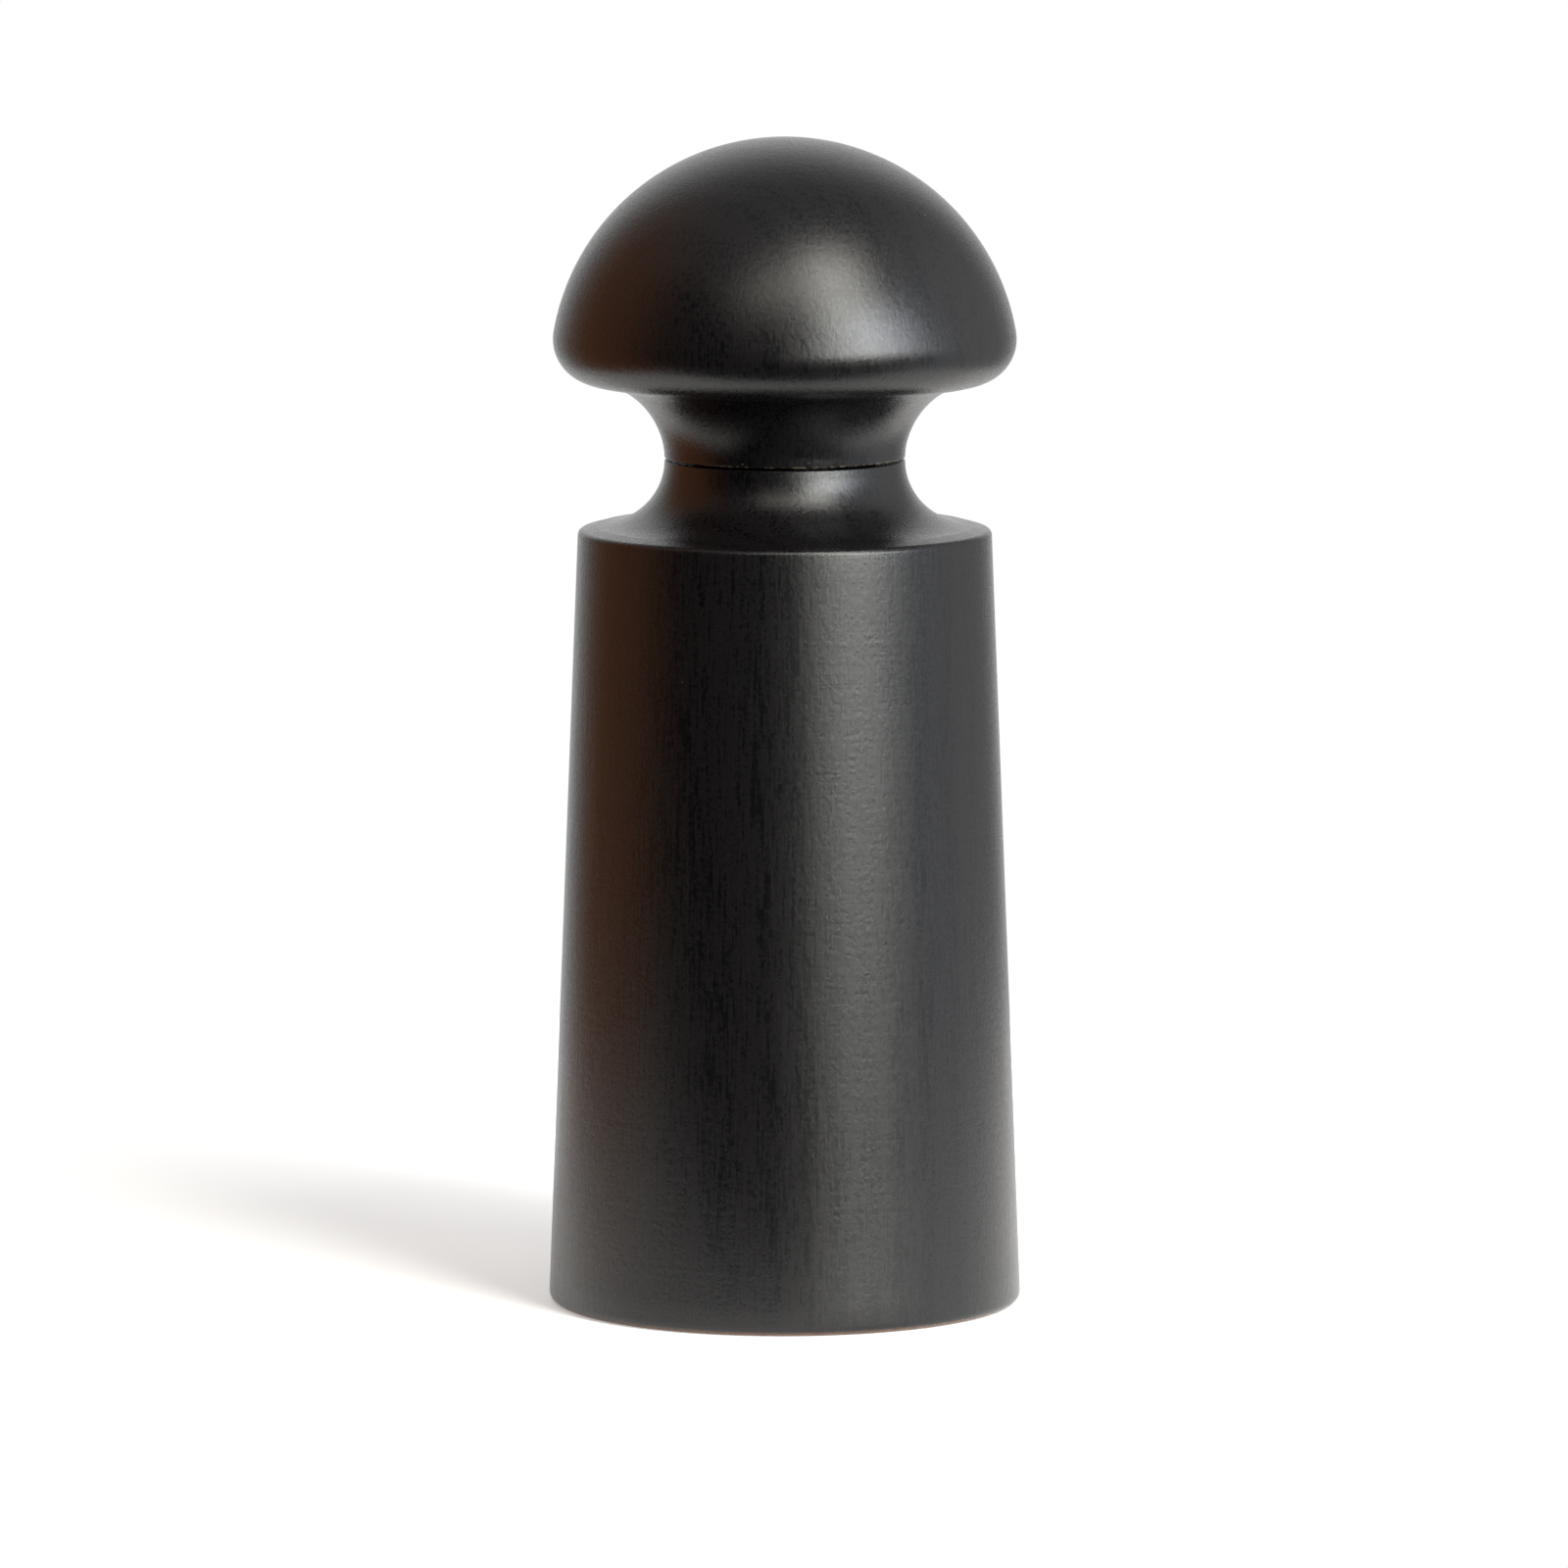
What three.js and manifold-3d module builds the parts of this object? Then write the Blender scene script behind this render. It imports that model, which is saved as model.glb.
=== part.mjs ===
// A pepper mill turned from black-stained wood. The mushroom head pulls off for filling, and its
// socket turns a square spindle that drives a ceramic grinder. A dial under the foot sets the grind.
// Millimetres, +Z up, origin at the centre of the foot's underside.

import * as THREE from "three";
import { mergeVertices } from "three/addons/utils/BufferGeometryUtils.js";
import Module from "manifold-3d";

const wasm = await Module();
wasm.setup();

// Clearances
const gap = 0.3; // between pieces that touch, or sit or turn in each other
const chamberGap = 0.4; // round the grinder in its chamber
const cutOver = 1; // how far a cutting shape runs past the faces it cuts

// How finely round things are divided
const turnedSides = 48;
const burrSides = 72;
const mouldedSides = 36;
const smallSides = 16;
const ringWireSides = 8;
const springWireSides = 6;
const coveSteps = 7;
const edgeSteps = 3;
const rimSteps = 6;
const domeSteps = 9;

const barrelSize = {
  height: 107.5,
  footWidth: 5.6, // of the wood round the recess
  footRound: 1.3,
  shoulderHeight: 98.7,
  shoulderRound: 0.8,
  landWidth: 1.4, // between the shoulder's edge and the cove
  landRise: 0.4,
  coveWidth: 8.8,
  coveFullness: 2,
  waistWall: 3.2,
  throatBelow: 2.5, // of the throat under the spigot
  funnelHeight: 7,
  recessBreak: 0.8, // chamfer round the mouth of the recess
};

const knobSize = {
  radius: 29.3,
  rimRound: 5.6,
  domeRise: 25.5, // from the centre of the rim's round to the top
  coveHeight: 9.4,
  coveFullness: 1.85,
  spigotLength: 9, // with the socket's flange
  spigotWall: 4.5,
};

const socketSize = {
  flangeThickness: 1.8,
  sleeveWall: 0.95, // at the square's corners
  length: 17.2,
  overTip: 1.5, // of the sleeve above the spindle's tip
  slotWidth: 1,
  slotLength: 10,
  ringWire: 0.5,
  ringFromTop: 3,
  ringMouth: 2.4,
};

const spindleSize = {
  side: 6,
  cornerBreak: 0.5,
  tipRadius: 2.7,
  tipTaper: 1.8,
  threadRadius: 2.5,
  threadStart: 0.8, // above the rotor carrier's lower face
  threadShort: 0.8, // of the thread's end above the dial's underside
  grooveDepth: 0.5, // of the clip's groove, from the corners
};

const housingSize = {
  flangeThickness: 2.6,
  flangeWidth: 5.6,
  sleeveWall: 2,
  lipWidth: 2.2,
  lipThickness: 1.5,
  bridgeThickness: 3.5,
  hubWall: 2.3,
  spokeCount: 3,
  spokeWidth: 3.4,
};

const bushSize = { wall: 1.3, flangeWidth: 2, flangeThickness: 1.3 };
const clipSize = { thickness: 0.8, width: 3.2, mouth: 4.4 };
const springWasherSize = { width: 2.9, thickness: 0.6 };
const springSize = { length: 8, wireRadius: 0.45, turns: 5, stepsPerTurn: 14 };

const rotorSize = {
  height: 12.2,
  topWall: 0.7, // between the flutes and the core's corners
  footOut: 3.6, // of the foot beyond the top
  steps: 8,
  fluteCount: 12, // coarse flutes that crack the corns, above the fine teeth
  fluteDepth: 0.9,
  fluteTwist: 0.05, // radians for each millimetre of height
  toothCount: 24,
  toothDepth: 0.4,
  toothTwist: 0.02,
};

const statorSize = {
  height: 11.5,
  footWall: 3.5,
  mouthWall: 2.1,
  grindHeight: 4.8, // of the lower face, which runs beside the rotor's teeth
  grindGap: 0.75,
  steps: 3,
  toothCount: 24,
  toothDepth: 0.45,
};

const retainerSize = { thickness: 2.2, width: 3 };
const carrierSize = { flangeShort: 1.5, flangeThickness: 1.4, coreWall: 1.73 };
const dialWasherSize = { width: 3.7, thickness: 0.5 };
const nutSize = { corner: 4.62, thickness: 3.2 };
const dialSize = { lift: 1.7, wall: 4.6, thickness: 5, gripCount: 12, gripDepth: 1, edgeBreak: 0.6 };
const housingScrewSize = { count: 3, headRadius: 2.1, headHeight: 1.2, radius: 1.1, length: 8.6 };
const socketScrewSize = { count: 2, headRadius: 1.6, headHeight: 0.9, radius: 0.9, length: 6.2 };
const crossSize = { width: 0.5, depth: 0.5, share: 1.3 }; // share: a slot's length over the head's radius

// Widths at the socket, from the spindle out to the waist and the shoulder
const squareHole = spindleSize.side + 2 * gap;
const holeCorner = squareHole / Math.SQRT2;
const barCorner = Math.hypot(spindleSize.side / 2, spindleSize.side / 2 - spindleSize.cornerBreak);
const grooveRadius = barCorner - spindleSize.grooveDepth;
const threadHole = spindleSize.threadRadius + gap;
const socketRadius = holeCorner + socketSize.sleeveWall;
const ringRadius = socketRadius + gap + socketSize.ringWire;
const socketBore = ringRadius + socketSize.ringWire + gap;
const spigotRadius = socketBore + knobSize.spigotWall;
const socketScrewRing = socketBore + knobSize.spigotWall / 2;
const throatRadius = spigotRadius + gap;
const waistRadius = throatRadius + barrelSize.waistWall;
const shoulderRadius = waistRadius + barrelSize.coveWidth + barrelSize.landWidth + barrelSize.shoulderRound;

// Widths at the grinder, from the spindle out to the foot
const hexSlack = gap / Math.cos(Math.PI / 6);
const coreCorner = holeCorner + carrierSize.coreWall;
const rotorTopRadius = coreCorner + hexSlack + rotorSize.topWall + rotorSize.fluteDepth;
const rotorFootRadius = rotorTopRadius + rotorSize.footOut;
const rotorSlope = rotorSize.footOut / rotorSize.height;
const springRadius = holeCorner + gap + springSize.wireRadius;
const bushRadius = holeCorner + bushSize.wall;
const hubBore = bushRadius + gap;
const statorRadius = rotorFootRadius + statorSize.grindGap + statorSize.footWall;
const sleeveBore = statorRadius + gap;
const sleeveRadius = sleeveBore + housingSize.sleeveWall;
const chamberRadius = sleeveRadius + chamberGap;
const flangeRadius = sleeveRadius + housingSize.flangeWidth;
const housingScrewRing = (sleeveRadius + flangeRadius) / 2;
const recessRadius = flangeRadius + gap;
const footRadius = recessRadius + barrelSize.footWidth;
const dialRadius = nutSize.corner + hexSlack + dialSize.wall;

// Heights of the pieces' lower faces, and of the faces between them, from the dial up
const dialLevel = dialSize.lift;
const dialWasherLevel = dialLevel + dialSize.thickness + gap;
const nutLevel = dialLevel + dialSize.thickness - gap - nutSize.thickness;
const carrierLevel = dialWasherLevel + dialWasherSize.thickness + gap;
const rotorLevel = carrierLevel + carrierSize.flangeThickness + gap;
const carrierTop = rotorLevel + rotorSize.height + gap;
const statorLevel = rotorLevel - gap;
const retainerLevel = statorLevel - gap - retainerSize.thickness;
const flangeLevel = retainerLevel - gap;
const recessDepth = flangeLevel + housingSize.flangeThickness + gap;
const lipLevel = statorLevel + statorSize.height + gap;
const springLevel = carrierTop + gap;
const springWasherLevel = springLevel + springSize.length + gap;
const bridgeLevel = springWasherLevel + springWasherSize.thickness + gap;
const bridgeTop = bridgeLevel + housingSize.bridgeThickness;
const bushLevel = bridgeLevel + gap;
const clipLevel = bridgeTop + gap + bushSize.flangeThickness + gap;
const headLevel = barrelSize.height + gap;
const socketLevel = headLevel - knobSize.spigotLength;
const spindleTop = socketLevel + socketSize.length - socketSize.overTip;
const spindleLevel = dialLevel + spindleSize.threadShort;
const squareLevel = carrierLevel + spindleSize.threadStart;

const finish = {
  ebonised: { color: 0x1d1a19, roughness: 0.42, metalness: 0 },
  plastic: { color: 0x1b1b1c, roughness: 0.55, metalness: 0 },
  acetal: { color: 0xd8d6cf, roughness: 0.45, metalness: 0 },
  ceramic: { color: 0xe9e4d8, roughness: 0.5, metalness: 0 },
  aluminium: { color: 0xb9babc, roughness: 0.35, metalness: 1 },
  steel: { color: 0x9a9b9d, roughness: 0.3, metalness: 1 },
};

const at = (radius, height) => new THREE.Vector2(radius, height);
const raised = (points, height) => points.map((p) => at(p.x, p.y + height));

function arc(centre, radius, from, to, steps) {
  return Array.from({ length: steps + 1 }, (_, i) => {
    const angle = from + ((to - from) * i) / steps;
    return at(centre.x + radius * Math.cos(angle), centre.y + radius * Math.sin(angle));
  });
}

// A hollow curve out from the waist to a level face. It is a quarter of an ellipse at fullness 2,
// and flatter in the middle below that. A negative rise runs downwards.
function cove(width, rise, fullness) {
  return Array.from({ length: coveSteps + 1 }, (_, i) => {
    const angle = (Math.PI / 2) * (i / coveSteps);
    const along = i === coveSteps ? 0 : Math.cos(angle) ** (2 / fullness);
    return at(waistRadius + width * (1 - along), rise * Math.sin(angle) ** (2 / fullness));
  });
}

// An outline that runs up the outside and down the inside, turned about Z.
function turned(outline, sides) {
  return new THREE.LatheGeometry(outline, sides).rotateX(Math.PI / 2);
}

function rod(radius, from, to, sides) {
  return turned([at(0, from), at(radius, from), at(radius, to), at(0, to)], sides);
}

function ring(inner, outer, thickness, sides) {
  const lower = [at(inner, 0), at(outer, 0)];
  const upper = [at(outer, thickness), at(inner, thickness)];
  return turned([...lower, ...upper, lower[0]], sides);
}

function box(width, depth, from, to) {
  return new THREE.BoxGeometry(width, depth, to - from).translate(0, 0, (from + to) / 2);
}

function prism(points, height) {
  return new THREE.ExtrudeGeometry(new THREE.Shape(points), { depth: height, bevelEnabled: false });
}

function polygon(corner, sides) {
  return arc(at(0, 0), corner, 0, 2 * Math.PI * (1 - 1 / sides), sides - 1);
}

const hexagon = (corner) => polygon(corner, 6);

function solidOf(geometry) {
  const plain = geometry.clone();
  plain.deleteAttribute("normal");
  plain.deleteAttribute("uv");
  const merged = mergeVertices(plain);
  return new wasm.Manifold(
    new wasm.Mesh({
      numProp: 3,
      vertProperties: new Float32Array(merged.attributes.position.array),
      triVerts: new Uint32Array(merged.index.array),
    }),
  );
}

function geometryOf(solid) {
  const mesh = solid.getMesh();
  const geometry = new THREE.BufferGeometry();
  geometry.setAttribute("position", new THREE.BufferAttribute(mesh.vertProperties, 3));
  geometry.setIndex(new THREE.BufferAttribute(mesh.triVerts, 1));
  geometry.computeVertexNormals();
  return geometry;
}

function joined(body, others) {
  return geometryOf(others.reduce((sum, other) => sum.add(solidOf(other)), solidOf(body)));
}

function cut(body, tools) {
  return geometryOf(tools.reduce((rest, tool) => rest.subtract(solidOf(tool)), solidOf(body)));
}

function common(body, other) {
  return geometryOf(solidOf(body).intersect(solidOf(other)));
}

// Places on a circle, the first on +Y.
function onRing(count, radius) {
  return Array.from({ length: count }, (_, i) => {
    const angle = Math.PI / 2 + (2 * Math.PI * i) / count;
    return new THREE.Vector3(radius * Math.cos(angle), radius * Math.sin(angle), 0);
  });
}

// From 0 to 1 and back, count times in a turn.
const wave = (count, angle) => 0.5 - 0.5 * Math.cos(count * angle);

// Moves the vertices of a turned shape out from Z by what depthAt gives, or in where that is negative.
function waved(geometry, depthAt) {
  const position = geometry.attributes.position;
  for (let i = 0; i < position.count; i += 1) {
    const [x, y, z] = [position.getX(i), position.getY(i), position.getZ(i)];
    const radius = Math.hypot(x, y);
    const change = radius > 0 ? depthAt(radius, z, Math.atan2(y, x)) / radius : 0;
    position.setXYZ(i, x * (1 + change), y * (1 + change), z);
  }
  return geometry;
}

function meshOf(name, geometry, surface, height) {
  const mesh = new THREE.Mesh(geometry, new THREE.MeshStandardMaterial(surface));
  mesh.name = name;
  mesh.position.z = height;
  return mesh;
}

// The seat of a screw in a flange: a through hole and a counterbore from below.
function screwSeats(size, circle, thickness) {
  return onRing(size.count, circle).flatMap((place) => [
    rod(size.radius + gap, -cutOver, thickness + cutOver, smallSides).translate(...place),
    rod(size.headRadius + gap, -cutOver, size.headHeight + gap, smallSides).translate(...place),
  ]);
}

// The pilot holes of the same screws, in the wood above the flange.
function pilotHoles(size, circle, from) {
  return onRing(size.count, circle).map((place) =>
    rod(size.radius + gap, from - cutOver, from + size.length, smallSides).translate(...place),
  );
}

function screw(size) {
  const body = turned(
    [
      at(0, 0),
      at(size.headRadius, 0),
      at(size.headRadius, size.headHeight / 3),
      at(size.radius, size.headHeight),
      at(size.radius, size.length - 2 * size.radius),
      at(0, size.length),
    ],
    smallSides,
  );
  const slot = size.headRadius * crossSize.share;
  return cut(body, [
    box(slot, crossSize.width, -cutOver, crossSize.depth),
    box(crossSize.width, slot, -cutOver, crossSize.depth),
  ]);
}

function screws(name, size, circle, height) {
  return onRing(size.count, circle).map((place, i) => {
    const mesh = meshOf(`${name}_${i + 1}`, screw(size), finish.steel, height);
    mesh.position.x = place.x;
    mesh.position.y = place.y;
    return mesh;
  });
}

// Head: the knob, its cove, and a spigot bored for the socket. Height 0 is the lip at the seam.
function headShape() {
  const rim = at(knobSize.radius - knobSize.rimRound, knobSize.coveHeight + knobSize.rimRound);
  const rise = knobSize.domeRise - knobSize.rimRound;
  const drop = (rim.x ** 2 - rise ** 2) / (2 * rise); // of the dome's centre below the rim's
  const domeCentre = at(0, rim.y - drop);
  const domeRadius = knobSize.domeRise + drop;
  const rimEnd = Math.atan2(drop, rim.x);
  const spigotFoot = gap + socketSize.flangeThickness - knobSize.spigotLength;
  const boreTop = socketSize.length + gap - knobSize.spigotLength;
  const outline = [
    at(0, boreTop),
    at(socketBore, boreTop),
    at(socketBore, spigotFoot),
    at(spigotRadius, spigotFoot),
    at(spigotRadius, 0),
    ...cove(rim.x - waistRadius, knobSize.coveHeight, knobSize.coveFullness),
    ...arc(rim, knobSize.rimRound, -Math.PI / 2, rimEnd, rimSteps).slice(1),
    ...arc(domeCentre, domeRadius, rimEnd, Math.PI / 2, domeSteps).slice(1, -1),
    at(0, domeCentre.y + domeRadius),
  ];
  return cut(
    turned(outline, turnedSides),
    pilotHoles(socketScrewSize, socketScrewRing, -knobSize.spigotLength),
  );
}

// Socket: a screwed flange and a square sleeve, slotted into four fingers that grip the bar.
function socketShape() {
  const { flangeThickness, length, slotWidth, slotLength } = socketSize;
  const body = turned(
    [
      at(0, 0),
      at(spigotRadius, 0),
      at(spigotRadius, flangeThickness),
      at(socketRadius, flangeThickness),
      at(socketRadius, length),
      at(0, length),
    ],
    mouldedSides,
  );
  const slotTo = length + cutOver;
  return cut(body, [
    box(squareHole, squareHole, -cutOver, slotTo),
    box(slotWidth, 3 * socketRadius, length - slotLength, slotTo),
    box(3 * socketRadius, slotWidth, length - slotLength, slotTo),
    ...screwSeats(socketScrewSize, socketScrewRing, flangeThickness),
  ]);
}

// The split wire ring that squeezes the socket's fingers. Height 0 is the middle of the wire.
function gripRingShape() {
  const wire = arc(at(ringRadius, 0), socketSize.ringWire, 0, 2 * Math.PI, ringWireSides);
  const mouth = box(4 * socketSize.ringWire, socketSize.ringMouth, -cutOver, cutOver);
  return cut(turned(wire, mouldedSides), [mouth.translate(ringRadius, 0, 0)]);
}

// Barrel: the waist, shoulder and cone outside; the throat, chamber and recess inside.
function barrelShape() {
  const b = barrelSize;
  const throatFoot = socketLevel - b.throatBelow;
  const coveDrop = b.height - b.shoulderHeight - b.landRise;
  const edge = at(shoulderRadius - b.shoulderRound, b.shoulderHeight - b.shoulderRound);
  const outline = [
    at(recessRadius + b.recessBreak, 0),
    ...arc(at(footRadius - b.footRound, b.footRound), b.footRound, -Math.PI / 2, 0, edgeSteps),
    ...arc(edge, b.shoulderRound, 0, Math.PI / 2, edgeSteps),
    ...raised(cove(b.coveWidth, -coveDrop, b.coveFullness), b.height).reverse(),
    at(throatRadius, b.height),
    at(throatRadius, throatFoot),
    at(chamberRadius, throatFoot - b.funnelHeight),
    at(chamberRadius, recessDepth),
    at(recessRadius, recessDepth),
    at(recessRadius, b.recessBreak),
    at(recessRadius + b.recessBreak, 0),
  ];
  return cut(turned(outline, turnedSides), pilotHoles(housingScrewSize, housingScrewRing, recessDepth));
}

// Grinder housing: a screwed flange, a sleeve with a lip over the stator, and a bridge on spokes.
function housingShape() {
  const h = housingSize;
  const sleeveTop = bridgeTop - flangeLevel;
  const lipFoot = lipLevel - flangeLevel;
  const lipBore = sleeveBore - h.lipWidth;
  const sleeve = turned(
    [
      at(sleeveBore, 0),
      at(flangeRadius, 0),
      at(flangeRadius, h.flangeThickness),
      at(sleeveRadius, h.flangeThickness),
      at(sleeveRadius, sleeveTop),
      at(sleeveBore, sleeveTop),
      at(sleeveBore, lipFoot + h.lipThickness),
      at(lipBore, lipFoot + h.lipThickness),
      at(lipBore, lipFoot),
      at(sleeveBore, lipFoot),
      at(sleeveBore, 0),
    ],
    mouldedSides,
  );
  const bridgeFoot = sleeveTop - h.bridgeThickness;
  const reach = sleeveBore + h.sleeveWall / 2;
  const spokes = Array.from({ length: h.spokeCount }, (_, i) =>
    box(reach, h.spokeWidth, bridgeFoot, sleeveTop)
      .translate(reach / 2, 0, 0)
      .rotateZ((2 * Math.PI * i) / h.spokeCount),
  );
  const hub = rod(hubBore + h.hubWall, bridgeFoot, sleeveTop, mouldedSides);
  return cut(joined(sleeve, [...spokes, hub]), [
    rod(hubBore, bridgeFoot - cutOver, sleeveTop + cutOver, mouldedSides),
    ...screwSeats(housingScrewSize, housingScrewRing, h.flangeThickness),
  ]);
}

const rotorRadiusAt = (level) => rotorFootRadius - rotorSlope * (level - rotorLevel);

// Stator: a ring with a funnel mouth, and teeth on the cone beside the rotor.
function statorShape() {
  const s = statorSize;
  const mouth = statorRadius - s.mouthWall;
  const grindFace = Array.from({ length: s.steps + 1 }, (_, i) => {
    const height = (s.grindHeight * (s.steps - i)) / s.steps;
    return at(rotorRadiusAt(statorLevel + height) + s.grindGap, height);
  });
  const foot = grindFace[s.steps];
  const back = [at(statorRadius, 0), at(statorRadius, s.height)];
  const outline = [foot, ...back, at(mouth, s.height), ...grindFace];
  return waved(turned(outline, burrSides), (radius, height, angle) =>
    radius < mouth && height <= s.grindHeight ? s.toothDepth * wave(s.toothCount, angle) : 0,
  );
}

// Rotor: a ceramic cone, with fine teeth below and coarse flutes above, on a six-sided core.
function rotorShape() {
  const r = rotorSize;
  const face = Array.from({ length: r.steps + 1 }, (_, i) => {
    const height = (r.height * i) / r.steps;
    return at(rotorRadiusAt(rotorLevel + height), height);
  });
  const cone = turned([at(0, 0), ...face, at(0, r.height)], burrSides);
  const toothed = waved(cone, (radius, height, angle) => {
    const fine = height < statorSize.grindHeight;
    const count = fine ? r.toothCount : r.fluteCount;
    const twist = fine ? r.toothTwist : r.fluteTwist;
    const depth = fine ? r.toothDepth : r.fluteDepth;
    return -depth * wave(count, angle + twist * height);
  });
  const hole = prism(hexagon(coreCorner + hexSlack), r.height + 2 * cutOver);
  return cut(toothed, [hole.translate(0, 0, -cutOver)]);
}

// Carrier: a flange and a six-sided core that hold the rotor, with a square hole for the bar.
function carrierShape() {
  const height = carrierTop - carrierLevel;
  const flangeOut = rotorFootRadius - carrierSize.flangeShort;
  const flange = rod(flangeOut, 0, carrierSize.flangeThickness, mouldedSides);
  const core = prism(hexagon(coreCorner), height);
  return cut(joined(flange, [core]), [box(squareHole, squareHole, -cutOver, height + cutOver)]);
}

// Spindle: a square bar with broken corners and a tapered tip, turned down and threaded at its foot.
function spindleShape() {
  const s = spindleSize;
  const height = spindleTop - spindleLevel;
  const threadLength = squareLevel - spindleLevel;
  const half = s.side / 2;
  const near = half - s.cornerBreak;
  const eighths = [at(half, near), at(near, half), at(-near, half), at(-half, near)];
  const section = [...eighths, ...eighths.map((p) => at(-p.x, -p.y))];
  const bar = prism(section, height - threadLength).translate(0, 0, threadLength);
  const thread = turned(
    [
      at(0, 0),
      at(s.threadRadius - s.cornerBreak, 0),
      at(s.threadRadius, s.cornerBreak),
      at(s.threadRadius, threadLength + cutOver),
      at(0, threadLength + cutOver),
    ],
    smallSides,
  );
  const tapered = turned(
    [at(0, 0), at(s.side, 0), at(s.side, height - s.tipTaper), at(s.tipRadius, height), at(0, height)],
    mouldedSides,
  );
  const groove = ring(grooveRadius, s.side, clipSize.thickness + 2 * gap, mouldedSides);
  const grooveFoot = clipLevel - gap - spindleLevel;
  return cut(common(joined(bar, [thread]), tapered), [groove.translate(0, 0, grooveFoot)]);
}

// Bush: it turns with the bar in the bridge's hub, and hangs on the hub by its flange.
function bushShape() {
  const sleeve = housingSize.bridgeThickness;
  const top = sleeve + bushSize.flangeThickness;
  const outer = bushRadius + bushSize.flangeWidth;
  const body = turned(
    [at(0, 0), at(bushRadius, 0), at(bushRadius, sleeve), at(outer, sleeve), at(outer, top), at(0, top)],
    mouldedSides,
  );
  return cut(body, [box(squareHole, squareHole, -cutOver, top + cutOver)]);
}

// The open clip that hangs the bar on the bush.
function clipShape() {
  const inner = grooveRadius + gap;
  const { width, thickness, mouth } = clipSize;
  const opening = box(inner + width + cutOver, mouth, -cutOver, thickness + cutOver);
  return cut(ring(inner, inner + width, thickness, mouldedSides), [
    opening.translate((inner + width + cutOver) / 2, 0, 0),
  ]);
}

function springWasherShape() {
  const { width, thickness } = springWasherSize;
  const hole = box(squareHole, squareHole, -cutOver, thickness + cutOver);
  return cut(rod(holeCorner + width, 0, thickness, mouldedSides), [hole]);
}

class Coil extends THREE.Curve {
  constructor(radius, height, turns) {
    super();
    Object.assign(this, { radius, height, turns });
  }

  getPoint(t, target = new THREE.Vector3()) {
    const angle = 2 * Math.PI * this.turns * t;
    return target.set(this.radius * Math.cos(angle), this.radius * Math.sin(angle), this.height * t);
  }
}

function springShape() {
  const { length, wireRadius, turns, stepsPerTurn } = springSize;
  const wire = new THREE.Shape(polygon(wireRadius, springWireSides));
  const path = new Coil(springRadius, length - 2 * wireRadius, turns);
  const coil = new THREE.ExtrudeGeometry(wire, { steps: turns * stepsPerTurn, extrudePath: path });
  return coil.translate(0, 0, wireRadius);
}

// Dial: a knob with grip notches, bored for the thread and pocketed from above for its nut.
function dialShape() {
  const { thickness, gripCount, gripDepth, edgeBreak } = dialSize;
  const outline = [
    at(0, 0),
    at(dialRadius - edgeBreak, 0),
    at(dialRadius, edgeBreak),
    at(dialRadius, thickness - edgeBreak),
    at(dialRadius - edgeBreak, thickness),
    at(0, thickness),
  ];
  const knob = waved(turned(outline, burrSides), (radius, height, angle) =>
    radius > dialRadius / 2 ? -gripDepth * wave(gripCount, angle) ** 2 : 0,
  );
  const pocket = prism(hexagon(nutSize.corner + hexSlack), thickness);
  return cut(knob, [
    rod(threadHole, -cutOver, thickness + cutOver, smallSides),
    pocket.translate(0, 0, nutLevel - gap - dialLevel),
  ]);
}

function nutShape() {
  const hole = rod(threadHole, -cutOver, nutSize.thickness + cutOver, smallSides);
  return cut(prism(hexagon(nutSize.corner), nutSize.thickness), [hole]);
}

const gripRingLevel = socketLevel + socketSize.length - socketSize.ringFromTop;
const head = new THREE.Group().add(
  meshOf("head", headShape(), finish.ebonised, headLevel),
  meshOf("drive_socket", socketShape(), finish.plastic, socketLevel),
  meshOf("grip_ring", gripRingShape(), finish.steel, gripRingLevel),
  ...screws("socket_screw", socketScrewSize, socketScrewRing, socketLevel + gap),
);

const barrel = new THREE.Group().add(
  meshOf("barrel", barrelShape(), finish.ebonised, 0),
  meshOf("grinder_housing", housingShape(), finish.plastic, flangeLevel),
  meshOf("stator_burr", statorShape(), finish.ceramic, statorLevel),
  meshOf(
    "burr_retainer",
    ring(statorRadius - retainerSize.width, statorRadius, retainerSize.thickness, mouldedSides),
    finish.plastic,
    retainerLevel,
  ),
  ...screws("housing_screw", housingScrewSize, housingScrewRing, flangeLevel),
);

const spindle = new THREE.Group().add(
  meshOf("drive_spindle", spindleShape(), finish.aluminium, spindleLevel),
  meshOf("spindle_bush", bushShape(), finish.acetal, bushLevel),
  meshOf("spindle_clip", clipShape(), finish.steel, clipLevel),
  meshOf("spring_washer", springWasherShape(), finish.steel, springWasherLevel),
  meshOf("burr_spring", springShape(), finish.steel, springLevel),
);

const rotor = new THREE.Group().add(
  meshOf("rotor_carrier", carrierShape(), finish.plastic, carrierLevel),
  meshOf("rotor_burr", rotorShape(), finish.ceramic, rotorLevel),
);

const dial = new THREE.Group().add(
  meshOf("adjuster_dial", dialShape(), finish.plastic, dialLevel),
  meshOf("dial_nut", nutShape(), finish.steel, nutLevel),
  meshOf(
    "dial_washer",
    ring(threadHole, threadHole + dialWasherSize.width, dialWasherSize.thickness, mouldedSides),
    finish.steel,
    dialWasherLevel,
  ),
);

const mill = new THREE.Group().add(head, barrel, spindle, rotor, dial);

export default mill;
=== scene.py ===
import math

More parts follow.
